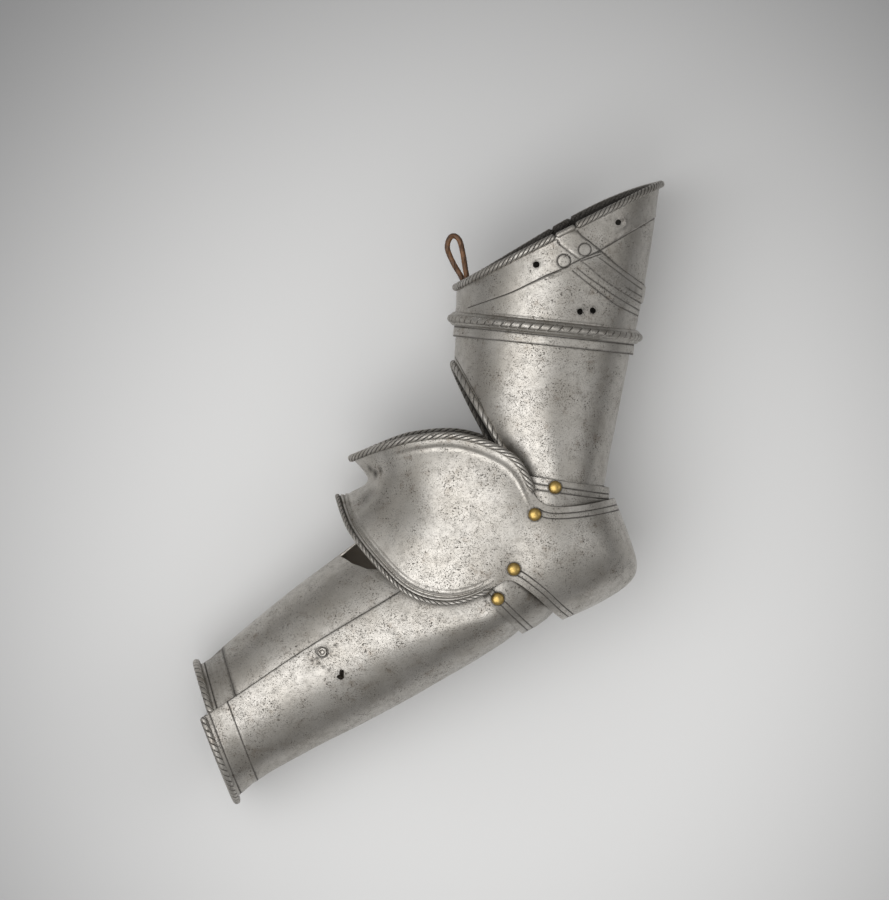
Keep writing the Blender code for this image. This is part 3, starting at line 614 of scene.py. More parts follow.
def round_outline(spot, rough=0.06, seed=1):
    """A nearly round outline, a little worn."""
    phases = np.random.default_rng(seed).uniform(0, 2 * math.pi, 4)
    outline = []
    for angle in full_turn(40):
        wear = sum(math.sin((k + 2) * angle + phases[k]) / (k + 1.5) for k in range(4))
        radius = spot.radius * (1 + rough * wear)
        outline.append((spot.x + radius * math.cos(angle), spot.y + radius * math.sin(angle)))
    return outline


def rivet_hole(point):
    return round_outline(Spot(*point[:2], RIVET_HOLE), rough=0)


def drill(obj, outlines, low=8):
    """Cut holes along the elbow's axis, down to a depth, and leave no modifier behind."""
    bm = bmesh.new()
    for outline in outlines:
        count = len(outline)
        verts = [bm.verts.new(place((x, y, z))) for z in (low, 100) for x, y in outline]
        ends = [range(count), range(count, 2 * count)]
        add_faces(bm, verts, [*ends, *grid_faces(2, count, True).tolist()])
    bmesh.ops.recalc_face_normals(bm, faces=bm.faces)
    tool = add_object("cutter", mesh_of("cutter", bm))
    cut = obj.modifiers.new("Holes", "BOOLEAN")
    cut.operation = "DIFFERENCE"
    cut.solver = "EXACT"
    cut.object = tool
    bpy.context.view_layer.update()
    evaluated = obj.evaluated_get(bpy.context.evaluated_depsgraph_get())
    result = bpy.data.meshes.new_from_object(evaluated)
    obj.modifiers.clear()
    old = obj.data
    obj.data = result
    bpy.data.meshes.remove(old)
    result.name = obj.name
    bpy.data.objects.remove(tool)


def rope(name, path, outward, material, closed=False, radius=ROPE_RADIUS, depth=CUT_DEPTH,
         pitch=STRAND_PITCH, strands=STRANDS, hand=1, taper=4.0, painted_back_shade=0.85, plain=(),
         notches=()):
    """A roll whose strands twist round a path, with a dark cut between them.

    Between the points of each plain pair the roll has no cuts; at notches it is worn thinner and darkened as
    painted shade, and its back is darkened as painted shade too.
    """
    both = np.hstack([path, outward])
    if closed:
        both = np.vstack([both, both[:1]])
    lengths = run_lengths(both[:, :3])
    total = lengths[-1]
    steps = round(total / ROPE_STEP)
    at = np.linspace(0, total, steps if closed else steps + 1, endpoint=not closed)
    line = read_line(both, lengths, at)
    centre = line[:, :3]
    along = unit(change(centre, 0, closed))
    out = line[:, 3:]
    out = unit(out - along * (out * along).sum(1, keepdims=True))
    side = np.cross(along, out)
    turns = total / (pitch * strands)
    if closed:
        turns = max(1, round(turns))
    twist = hand * 2 * math.pi * turns * at / total
    cut_at = np.ones(len(at))
    scale = np.ones(len(at))
    notch_shade = np.zeros(len(at))
    for pair in plain:
        low, high = sorted(at[nearest(centre, point)] for point in pair)
        within = smooth((at - low) / 1.5) * smooth((high - at) / 1.5)
        cut_at = cut_at * (1 - within)
        scale -= 0.22 * within
    # at notches the roll is worn thinner and its colour is darkened as painted shade
    for notch in notches:
        away = at - at[nearest(centre, notch)]
        scale -= (scale - 0.3) * bump(away / 1.7)
        notch_shade = np.maximum(notch_shade, bump(away / 1.5))
    if not closed:
        ends = np.minimum(at, total - at) / taper
        scale *= 0.25 + 0.75 * np.sqrt(np.clip(ends, 0, 1))
    arc = 2 * math.pi * radius / strands
    near, far = 0.34 / arc, 0.66 / arc
    shares = np.array((0.0, near, far, 0.28, 0.5, 0.72, 1 - far, 1 - near))
    cuts = np.array((1.0, 0.75, 0.12, 0.03, 0.0, 0.03, 0.12, 0.75))
    around = np.concatenate([(k + shares) / strands for k in range(strands)]) * 2 * math.pi
    groove = np.tile(cuts, strands)
    angle = around[None] + twist[:, None]
    size = radius * scale[:, None] - depth * groove[None] * cut_at[:, None]
    ring = np.cos(angle)[..., None] * out[:, None] + np.sin(angle)[..., None] * side[:, None]
    grid = centre[:, None] + ring * size[..., None]
    rows, cols = grid.shape[:2]
    # painted shade: the roll's back, turned away from its outward side, is darkened
    back_shade = smooth((-np.cos(angle) - 0.3) / 0.4) * painted_back_shade
    bm, _, dirt_and_shade = blank_mesh()
    verts = [bm.verts.new(point) for point in grid.reshape(-1, 3)]
    for k, vert in enumerate(verts):
        row, col = divmod(k, cols)
        vert[dirt_and_shade] = max(groove[col] * cut_at[row], back_shade[row, col], notch_shade[row])
    # a closed roll twists by a whole number of turns, so its last ring joins its first
    faces = grid_faces(rows + 1 if closed else rows, cols, True) % len(verts)
    add_faces(bm, verts, faces.tolist())
    if not closed:
        bm.faces.new(verts[:cols][::-1])
        bm.faces.new(verts[-cols:])
    bmesh.ops.recalc_face_normals(bm, faces=bm.faces)
    return finish_mesh(name, bm, material, sharp=60)


# --- Materials -------------------------------------------------------------------------


class Nodes:
    """The node tree of a material or a world, with short calls to add to it."""

    def __init__(self, owner, last="Principled BSDF"):
        owner.use_nodes = True
        self.owner = owner
        self.tree = owner.node_tree
        self.last = self.tree.nodes[last]

    def feed(self, node, inputs):
        for key, value in inputs.items():
            socket = node.inputs[key]
            if isinstance(value, bpy.types.NodeSocket):
                self.tree.links.new(value, socket)
            else:
                socket.default_value = value

    def add(self, kind, inputs=(), **settings):
        node = self.tree.nodes.new("ShaderNode" + kind)
        for key, value in settings.items():
            setattr(node, key, value)
        self.feed(node, dict(inputs))
        return node

    def noise(self, coords, scale, detail=3.0, rough=0.55):
        inputs = {"Vector": coords, "Scale": scale, "Detail": detail, "Roughness": rough}
        return self.add("TexNoise", inputs).outputs["Fac"]

    def ramp(self, value, low, high, to_low=0.0, to_high=1.0):
        names = ("Value", "From Min", "From Max", "To Min", "To Max")
        inputs = zip(names, (value, low, high, to_low, to_high))
        return self.add("MapRange", inputs, interpolation_type="SMOOTHSTEP").outputs["Result"]

    def math(self, operation, a, b, clamp=False):
        node = self.add("Math", {0: a, 1: b}, operation=operation, use_clamp=clamp)
        return node.outputs["Value"]

    def times(self, a, b, clamp=False):
        return self.math("MULTIPLY", a, b, clamp)

    def plus(self, a, b, clamp=False):
        return self.math("ADD", a, b, clamp)

    def mix(self, share, *colours):
        socket = bpy.types.NodeSocket
        a, b = (value if isinstance(value, socket) else (*value, 1) for value in colours)
        return self.add("Mix", {0: share, 6: a, 7: b}, data_type="RGBA").outputs[2]

    def coated(self, colour, *coats):
        """A colour under coats of others, each with its share."""
        for share, coat in coats:
            colour = self.mix(share, colour, coat)
        return colour

    def coords(self, offset, scale=(1, 1, 1)):
        """Object coordinates in mm, in a part of space of their own."""
        spot = self.add("TexCoord").outputs["Object"]
        inputs = {"Vector": spot, "Location": offset, "Scale": tuple(s / MM for s in scale)}
        return self.add("Mapping", inputs).outputs["Vector"]

    def attribute(self, name):
        return self.add("Attribute", attribute_name=name).outputs["Fac"]

    def finish(self, colour, rough, metal, height, bump_mm, shine=0.5):
        """The material, once its shader is fed."""
        inputs = {"Height": height, "Strength": 1.0, "Distance": bump_mm * MM}
        normal = self.add("Bump", inputs).outputs["Normal"]
        inputs = {"Base Color": colour, "Roughness": rough, "Metallic": metal}
        self.feed(self.last, {**inputs, "Normal": normal, "Specular IOR Level": shine})
        return self.owner


def tinted(level, colour):
    return tuple(level * value for value in colour)


def steel(name, seed, bright, lining_shade, matt):
    """Old polished plate: a warm grey with soft patches, dark pits, stains and fine wear.

    Lining is how pale the brown inner face is, set per piece as painted shade or light: near black where the
    inside is in shadow, pale where light reaches into it. Matt is how little of it is bare metal.
    """
    n = Nodes(bpy.data.materials.new(name))
    base = n.coords((seed * 131.7, seed * 57.3, seed * 93.1))
    patches = n.noise(base, 0.04, 4, 0.6)
    mottle = n.noise(base, 0.2, 4, 0.62)
    fine = n.noise(base, 1.1, 3, 0.6)
    cluster = n.noise(base, 0.07, 4, 0.62)
    specks = n.noise(base, 0.8, 2.5, 0.6)
    small = n.noise(base, 1.7, 2, 0.5)
    brushed = n.noise(n.coords((seed * 11.3, 0, 0), (0.09, 1.6, 1.6)), 1.0, 2, 0.5)
    crowd = n.ramp(cluster, 0.42, 0.66)
    big_pits = n.times(n.ramp(specks, 0.61, 0.65), n.ramp(cluster, 0.42, 0.60))
    few = n.ramp(cluster, 0.3, 0.58, 0.35, 1.0)
    small_pits = n.times(n.ramp(small, 0.605, 0.655), few)
    pits = n.math("MAXIMUM", big_pits, small_pits)
    grime_and_shade = n.attribute("grime_and_shade")
    inside = n.attribute("inside")

    dull = tinted(bright, (0.76, 0.71, 0.635))
    stain = n.ramp(n.noise(base, 0.13, 5, 0.7), 0.5, 0.68)
    dirt_and_shade = n.times(grime_and_shade, n.ramp(fine, 0.25, 0.6, 0.78, 1.0), True)
    colour = n.coated(
        tinted(bright, (1.0, 0.957, 0.89)),
        (n.ramp(patches, 0.32, 0.72, 0, 0.8), dull),
        (n.ramp(mottle, 0.48, 0.74, 0, 0.30), tinted(0.6, dull)),
        (n.times(n.times(stain, crowd), 0.5), (0.17, 0.125, 0.085)),
        (n.ramp(fine, 0.5, 0.72, 0, 0.3), tinted(0.5, dull)),
        (n.times(pits, 0.85), (0.03, 0.023, 0.017)),
        # the inner face, at a paleness set per piece as painted shade or light
        (n.times(inside, 0.96), tinted(lining_shade, (1.0, 0.92, 0.82))),
        # dirt and painted shade marked on the points
        (dirt_and_shade, (0.016, 0.013, 0.011)),
    )

    rough = n.ramp(mottle, 0.30, 0.75, 0.33, 0.48)
    rough = n.plus(rough, n.ramp(brushed, 0.3, 0.7, -0.03, 0.06))
    for layer, share in ((pits, 0.3), (grime_and_shade, 0.35), (inside, 0.12)):
        rough = n.plus(rough, n.times(layer, share), layer is inside)
    dark = n.math("MAXIMUM", n.times(pits, 0.6), n.times(dirt_and_shade, 0.8))
    dark = n.math("MAXIMUM", dark, n.times(inside, matt))
    metal = n.math("SUBTRACT", 1.0, dark, True)
    shine = n.math("SUBTRACT", 0.5, n.times(dark, 0.5), True)

    height = n.times(pits, -1.0)
    for layer, share in ((mottle, 0.25), (fine, 0.16), (brushed, 0.06)):
        height = n.plus(height, n.times(layer, share))
    return n.finish(colour, rough, metal, height, 0.085, shine)


def brass(name):
    """Smooth golden rivets with a little tarnish."""
    n = Nodes(bpy.data.materials.new(name))
    base = n.coords((7.7, 3.1, 1.9))
    tarnish = n.noise(base, 0.55, 4, 0.6)
    colour = n.coated(
        (0.52, 0.365, 0.125),
        (n.ramp(tarnish, 0.45, 0.72), (0.33, 0.21, 0.07)),
        # dirt and painted shade, dark round each head's rim and beneath it
        (n.attribute("grime_and_shade"), (0.05, 0.032, 0.014)),
    )
    rough = n.ramp(tarnish, 0.35, 0.7, 0.28, 0.40)
    return n.finish(colour, rough, 1.0, n.noise(base, 1.3, 3), 0.03)


def leather(name):
    """A waxed brown thong, darker in its twist, with painted shade on its back and fine grain."""
    n = Nodes(bpy.data.materials.new(name))
    base = n.coords((1.0, 2.0, 3.0))
    tone = n.noise(base, 0.3, 4, 0.6)
    grain = n.noise(base, 3.2, 3, 0.6)
    colour = n.coated(
        (0.21, 0.10, 0.042),
        (n.ramp(tone, 0.35, 0.7), (0.10, 0.047, 0.021)),
        (n.ramp(grain, 0.5, 0.75, 0, 0.5), (0.26, 0.15, 0.075)),
        # the twist's cuts, and painted shade on the thong's back
        (n.times(n.attribute("grime_and_shade"), 0.7), (0.022, 0.010, 0.006)),
    )
    return n.finish(colour, n.ramp(grain, 0.3, 0.7, 0.42, 0.62), 0.0, grain, 0.12)


def floor_with_painted_pool(name):
    """A pale floor with a painted pool of light round the harness, falling to dark grey away from it."""
    n = Nodes(bpy.data.materials.new(name))
    spot = n.add("TexCoord").outputs["Object"]
    inputs = {"Vector": spot, "Location": (-0.05, 0.06, 0), "Scale": (1.0, 0.9, 0)}
    away = n.add("Mapping", inputs).outputs["Vector"]
    reach = n.add("VectorMath", {0: away}, operation="LENGTH").outputs["Value"]
    # painted light: a pale pool round the harness, darker further out
    colour = n.mix(n.ramp(reach, 0.14, 0.60), (0.80, 0.80, 0.80), (0.20, 0.20, 0.205))
    n.feed(n.last, {"Base Color": colour, "Roughness": 0.7, "Specular IOR Level": 0.15})
    return n.owner


# --- Pieces ----------------------------------------------------------------------------


def on_near_side(grid, closed, line, step=0.5):
    """The points of a surface's near side over a line drawn in the bending plane."""
    rows, cols = grid.shape[:2]
    flat = grid.reshape(-1, 3)
    faces = grid_faces(rows, cols, closed).tolist()
    tree = BVHTree.FromPolygons([Vector(point) for point in flat], faces)
    near = flat[flat[:, 2] > -1]
    points = []
    for x, y in resample(line, step):
        hit = tree.ray_cast(Vector((x, y, 200)), Vector((0, 0, -1)))[0]
        if hit is None or hit.z < 0:
            hit = near[np.argmin((near[:, 0] - x) ** 2 + (near[:, 1] - y) ** 2)]
        points.append(tuple(hit))
    return np.array(points)


def near_spot(grid, closed, x, y):
    """The surface's near side over one spot: two points, very close together."""
    return on_near_side(grid, closed, [(x, y), (x + 0.1, y)])


def ring_line(grid, closed, spot):
    """A circle on the near side round a spot."""
    circle = [(spot.x + spot.radius * math.cos(a), spot.y + spot.radius * math.sin(a))
              for a in np.linspace(0, 2 * math.pi, 60)]
    return on_near_side(grid, closed, circle, 0.3)


def ring_middle(ring):
    return (np.array((*ring[:2], 0)) + np.array((*ring[2:4], 0))) / 2


def roll_path(points, heart, lift=ROLL_LIFT):
    """A roll's path just outside an edge, and its outward directions."""
    outward = unit(points - heart)
    return points + outward * lift, outward


def back_join(grid, angles, end):
    """A line round the turner's back, from the end of a near line to its far twin."""
    near = np.linalg.norm(grid[:UPPER_ROWS, : TURNER_COLS // 4] - end, axis=2)
    last = max(1, int(np.argmin(near.min(axis=0))))
    row = int(np.argmin(near[:, last]))
    points = []
    for k in range(last, -last - 1, -1):
        sag = BACK_SAG * (1 - (k / last) ** 2)
        height = end[1] - sag + rim_rise(angles[k]) * (1 - row / (UPPER_ROWS - 1))
        column = grid[UPPER_ROWS - 1 :: -1, k]
        points.append(read_line(column, column[:, 1], height))
    return np.array(points)


def build_turner(mat):
    angles = full_turn(TURNER_COLS)
    rises = rim_rise(angles)
    upper = [*TURNER_TOP, swivel_ring(BEAD_HALF + NECK_RISE, TURNER_RADIUS)]
    rows = []
    last = len(upper) - 1
    for at in np.linspace(0, last, UPPER_ROWS):
        row = ring_points(through(upper, at), angles)
        row[:, 1] += rises * (1 - at / last)
        rows.append(row)
    for angle in np.linspace(0, math.pi, 17):
        rise = BEAD_HALF * math.cos(angle) * (1 + 0.12 * math.sin(angle))
        swell = (BEAD_RADIUS - TURNER_RADIUS - 1.1) * math.sin(angle) ** 1.25
        rows.append(ring_points(swivel_ring(rise, TURNER_RADIUS + swell), angles))
    for rise in np.linspace(-BEAD_HALF - 0.8, -BAND_DROP, 6):
        rows.append(ring_points(swivel_ring(rise, TURNER_RADIUS), angles))
    grid = np.stack(rows)
    fade = smooth(np.arange(len(grid)) / 4)[:, None]
    relief = hammered(grid, 11) * fade

    # the raised band between the two slanting lines
    x, y, z = np.moveaxis(grid, -1, 0)
    top_share = np.clip(1 - np.arange(len(grid)) / (UPPER_ROWS - 1), 0, 1)[:, None]
    level = y - rises[None] * top_share
    low = np.interp(x, *np.transpose([*BAND_LOW, BAND_ENDS[0]]))
    high = np.interp(x, *np.transpose([*BAND_HIGH, BAND_ENDS[1]]))
    within = np.minimum(level - low, high - level) * 0.8
    relief += 1.2 * smooth(within / 0.9) * (x > 74)
    border = level - np.interp(x, *np.transpose(RIM_LINE))
    relief += 0.8 * bump((border + 1.9) / 1.8) * bump((x - 73) / 19)
    relief += 0.6 * bump((border - 1.6) / 1.5) * smooth((x - 106) / 8)
    for spot, depth in ((DIMPLE, 0.8), (WORN_SPOT, 0.3)):
        away = np.hypot(x - spot.x, y - spot.y)
        relief -= depth * smooth(1 - away / spot.radius) * (z > 0)
    hole = TURNER_HOLES[1]
    away = np.hypot(x - hole.x - 1.6, y - hole.y)
    relief += 0.9 * bump((away - 3.4) / 1.3) * (z > 0) * (x > hole.x + 1.0)
    grid = displaced(grid, True, relief)

    near_lines = [on_near_side(grid, True, curve(line, 8 * len(line))) for line in TURNER_LINES]
    rim_line = on_near_side(grid, True, curve(RIM_LINE, 8 * len(RIM_LINE)))
    tree = tree_of(grid.reshape(-1, 3))
    back_lines = [back_join(grid, angles, line[-1]) for line in near_lines[:4]]
    far_lines = []
    for line in near_lines[:4] + [rim_line]:
        far = []
        for point in line:
            row, col = divmod(tree.find(point)[1], TURNER_COLS)
            rise = rim_rise(-angles[col]) * max(0.0, 1 - row / (UPPER_ROWS - 1))
            far.append((point[0], point[1] + rise, -point[2]))
        far_lines.append(np.array(far))
    circles = [ring_line(grid, True, spot) for spot in FLUSH_RIVETS]
    bm = sheet_mesh(grid, True, PLATE)
    crease = grid[UPPER_ROWS - 1]
    band = ring_points(swivel_ring(-BEAD_HALF - 0.7, TURNER_RADIUS), full_turn(400))
    engrave(bm, near_lines + far_lines + back_lines + [rim_line])
    engrave(bm, circles, half=0.7, depth=0.3)
    engrave(bm, [crease[45:112]], half=0.5, depth=0.15, grime_and_shade=0.45, cuts=1)
    engrave(bm, [np.vstack([band, band[:1]])], half=0.6, depth=0.25, cuts=1)
    # painted shadow along the turner's lower edge
    soil_and_shade(bm, grid[-1], 0.9, 0.9)
    soil_and_shade(bm, [near_spot(grid, True, hole.x, hole.y)[0] for hole in TURNER_HOLES], 3.8, 1.1)
    # painted shade and dirt over the strap band
    soil_and_shade(bm, on_near_side(grid, True, [(104.0, 125.0), (128.0, 108.0)]), 11.0, 0.4)
    obj = finish_mesh("turner_plate", bm, mat)
    drill(obj, [round_outline(spot, seed=k + 3) for k, spot in enumerate(TURNER_HOLES)])

    angles = full_turn(480)
    edge = ring_points(through(upper, 0.0), angles)
    middle = (edge[0] + edge[len(edge) // 2]) / 2
    path, outward = roll_path(edge, middle, 0.8)
    path[:, 1] += rim_rise(angles)
    marks = [path[nearest(path, mark)] for mark in RIM_MARKS]
    rim = rope("turner_rim", path, outward, mat, True, plain=[marks[:2]], notches=marks,
               pitch=4.1, strands=5, depth=0.35, hand=-1)
    path = ring_points(swivel_ring(0.0, BEAD_RADIUS - 2.5), angles)
    outward = unit(path - SWIVEL_CENTRE)
    bead = rope("turner_bead", path, outward, mat, True, radius=2.9, painted_back_shade=0.0, hand=-1,
                pitch=6.4, strands=2)
    return [obj, rim, bead]


def edge_height(x):
    xs, ys = np.transpose(CANNON_EDGE)
    height = np.interp(x, xs, ys)
    steep = (ys[1] - ys[0]) / (xs[1] - xs[0])
    return np.where(x < xs[0], ys[0] + steep * (x - xs[0]), height)


def edge_places(angles):
    """How far down the tube's rings the plate reaches, along each angle."""
    low = np.zeros(len(angles))
    high = np.full(len(angles), len(CANNON_TUBE) - 1.0)
    drop = CUT_FAR_DROP * far_side(angles)
    end = ring_points(through(CANNON_TUBE, high), angles)
    whole = end[:, 1] > edge_height(end[:, 0]) - drop
    for _ in range(30):
        middle = (low + high) / 2
        point = ring_points(through(CANNON_TUBE, middle), angles)
        above = point[:, 1] > edge_height(point[:, 0]) - drop
        low = np.where(above, middle, low)
        high = np.where(above, high, middle)
    return np.where(whole, len(CANNON_TUBE) - 1.0, low)


def build_cannon(mat):
    angles = full_turn(CANNON_COLS)
    top = [ring_points(swivel_ring(rise, radius), angles) for rise, radius in FLANGE]
    depths = edge_places(angles)
    rows = [ring_points(through(CANNON_TUBE, share * depths), angles)
            for share in np.linspace(0, 1, CANNON_ROWS)]
    grid = np.stack(top + rows)
    fade = smooth((down_lengths(grid) - 20) / 20)
    grid = displaced(grid, True, hammered(grid, 23) * fade)
    front = np.abs(angles - math.pi) < math.radians(48)
    beside = edge_line(grid, 5.2, from_end=True)[front]
    bm = sheet_mesh(grid, True, PLATE)
    engrave(bm, [beside], half=0.5, depth=0.3)
    # painted shadow on the cannon under the turner's lower edge
    soil_and_shade(bm, ring_points(swivel_ring(-BAND_DROP, CANNON_RADIUS), full_turn(900)), 1.6)
    obj = finish_mesh("upper_cannon_plate", bm, mat)
    drill(obj, [rivet_hole(PIVOTS["upper_cannon"])], THROUGH)

    angles = np.linspace(math.radians(120), math.radians(242), 300)
    places = edge_places(angles)
    rings = through(CANNON_TUBE, places)
    edge = ring_points(rings, angles)
    middle = (ring_points(rings, 0 * angles) + ring_points(rings, 0 * angles + math.pi)) / 2
    path, outward = roll_path(edge, middle, 0.4)
    roll = rope("cannon_v_rope", path, outward, mat, pitch=6.4, depth=0.3)
    return [obj, roll]


def build_lame(name, table, reach, rivet, mat, seed, edge_at_end):
    angles = np.linspace(-reach, reach, LAME_COLS)

    def lame_row(at):
        return ring_points(through(table, at), angles)

    grid = np.stack([lame_row(at) for at in even_places(lame_row, 3, LAME_ROWS)])
    grid = displaced(grid, False, hammered(grid, seed))
    lines = [edge_line(grid, distance, edge_at_end) for distance in EDGE_LINES]
    bm = sheet_mesh(grid, False, LAME_PLATE)
    engrave(bm, [line[2:-2] for line in lines])
    # painted shade round the rivet's head
    soil_and_shade(bm, ring_line(grid, False, rivet), 1.3, 0.9)
    return finish_mesh(name, bm, mat)


def couter_ribs(at):
    """The knots of the couter's ribs at places from 0 at the elbow's point to the front."""
    table = np.array(COUTER_RIBS)
    flip = np.array((1, 1, -1, 1, 1, -1, 1, 1, -1, 1, 1))
    table = np.vstack([table[1] * flip, table, table[-2] * flip])
    rib = through(table, np.asarray(at) + 1)
    top, middle, low = rib[..., 0:3], rib[..., 3:6], rib[..., 6:9]
    upper = (top + middle) / 2
    lower = (middle + low) / 2
    upper = upper + unit(upper - COUTER_HEART) * rib[..., 9:10]
    lower = lower + unit(lower - COUTER_HEART) * rib[..., 10:11]
    return np.stack([top, upper, middle, lower, low])


def build_couter(mat):
    half = even_places(lambda at: couter_ribs(at)[[0, 2, 4]], COUTER_LAST, COUTER_HALF)
    at = np.concatenate([half, half[1:-1][::-1]])
    sign = np.where(np.arange(len(at)) < COUTER_HALF, 1.0, -1.0)
    ribs = couter_ribs(at)
    dense = np.stack([through(ribs, place_in) for place_in in np.linspace(0, 4, 160)])
    dense[..., 2] *= sign[None]
    dense = blurred(dense, 9, 0, False)
    softer = blurred(dense, 4.2, 1, True)
    behind = (1 - smooth((at - 8.3) / 1.2))[None, :, None]
    dense = dense + (softer - dense) * behind
    front = smooth((at - 8.8) / 1.6)[None, :, None]
    dense = dense + (blurred(dense, 22, 0, False) - dense) * front
    far_top = (sign < 0) * smooth((at - 5.6) / 1.5) * smooth((COUTER_LAST - 0.4 - at) / 1.5)
    dense[..., 1] += FAR_WING_RISE * far_top * np.linspace(1, 0, len(dense))[:, None] ** 3
    total = down_lengths(dense)[-1]
    zone = np.minimum(FINE_ZONE, 0.4 * total)
    steps = [np.linspace(0, 1, TOP_ROWS, endpoint=False)[:, None] * zone]
    middle = np.linspace(0, 1, MIDDLE_ROWS, endpoint=False)[:, None]
    steps.append(zone + middle * (total - 2 * zone))
    steps.append(total - zone + np.linspace(0, 1, LOW_ROWS)[:, None] * zone)
    grid = column_points(dense, np.vstack(steps))
    from_top = down_lengths(grid)
    from_low = from_top[-1] - from_top
    wing_top = smooth((at - 5.3) / 0.5) * (1 - 0.75 * smooth((at - 8.7) / 1.5))
    wing_low = smooth((at - 6.0) / 0.6)
    relief = hammered(grid, 37, 0.08) * smooth(np.minimum(from_top, from_low) / 6)
    ridge = 0.45 * bump((from_top - TOP_RIDGE) / 2.6) - 0.2 * bump((from_top - 4.6) / 2.8)
    relief += ridge * wing_top
    for distance, height, half in LOW_RIDGES:
        relief += height * bump((from_low - distance) / half) * wing_low
    away = np.hypot(grid[..., 0] - DENT.x, grid[..., 1] - DENT.y)
    relief -= 0.9 * smooth(1 - away / DENT.radius) * (sign > 0)
    grid = displaced(grid, True, relief)
    bm = sheet_mesh(grid, True, PLATE)
    order = np.argsort(np.where(sign > 0, at, -at))
    lines = []
    for distance in EDGE_LINES:
        for from_end, front_end in ((False, 4.85), (True, 5.15)):
            lines.append(edge_line(grid, distance, from_end)[order[at[order] < front_end]])
    engrave(bm, lines)
    # painted shade round the rivet heads
    for name in ("upper_lame", "lower_lame"):
        soil_and_shade(bm, ring_line(grid, True, RIVETS[name]), 1.3, 0.9)
    # painted shade in the dent and the hollow below the notch
    for x, y, radius, amount in WING_SHADE:
        soil_and_shade(bm, near_spot(grid, True, x, y), radius, amount)
    # painted shade under the upper roll and in the groove inside the lower edge
    soil_and_shade(bm, edge_line(grid, 0.6)[at > TOP_ROPE_START], 1.5, 0.8)
    soil_and_shade(bm, edge_line(grid, 3.6, True)[at > LOW_ROPE_START], 0.7, 0.6)
    obj = finish_mesh("couter_plate", bm, mat)

    ropes = []
    for name, edge, start, looks in (
        ("couter_upper_rope", dense[0], TOP_ROPE_START, {"pitch": 5.0, "strands": 5, "hand": -1}),
        ("couter_lower_rope", dense[-1], LOW_ROPE_START, {"pitch": 4.1, "radius": 1.6}),
    ):
        edge = edge[at >= start]
        edge = curve(edge, 4 * len(edge))
        path, outward = roll_path(edge, COUTER_HEART, 3.1 - looks.get("radius", 2.2))
        ropes.append(rope(name, path, outward, mat, **looks))
    return [obj, *ropes]


def seam_angles(at):
    along = np.asarray(at) / (len(FOREARM) - 1)
    share = SEAM_SHARE[0] + (SEAM_SHARE[1] - SEAM_SHARE[0]) * along
    widest = through(FOREARM, at)[..., 5]
    return np.arccos((share - widest) / widest)


def forearm_frame(at, angle):
    """A point of the forearm and its outward direction."""
    ahead = ring_points(through(FOREARM, at - 0.5), angle)
    along = ahead - ring_points(through(FOREARM, at + 0.5), angle)
    ring = through(FOREARM, at)
    around = ring_points(ring, angle + 0.1) - ring_points(ring, angle - 0.1)
    outward = unit(np.cross(along, around))
    if outward[2] * math.sin(angle) < 0:
        outward = -outward
    return ring_points(ring, angle), outward


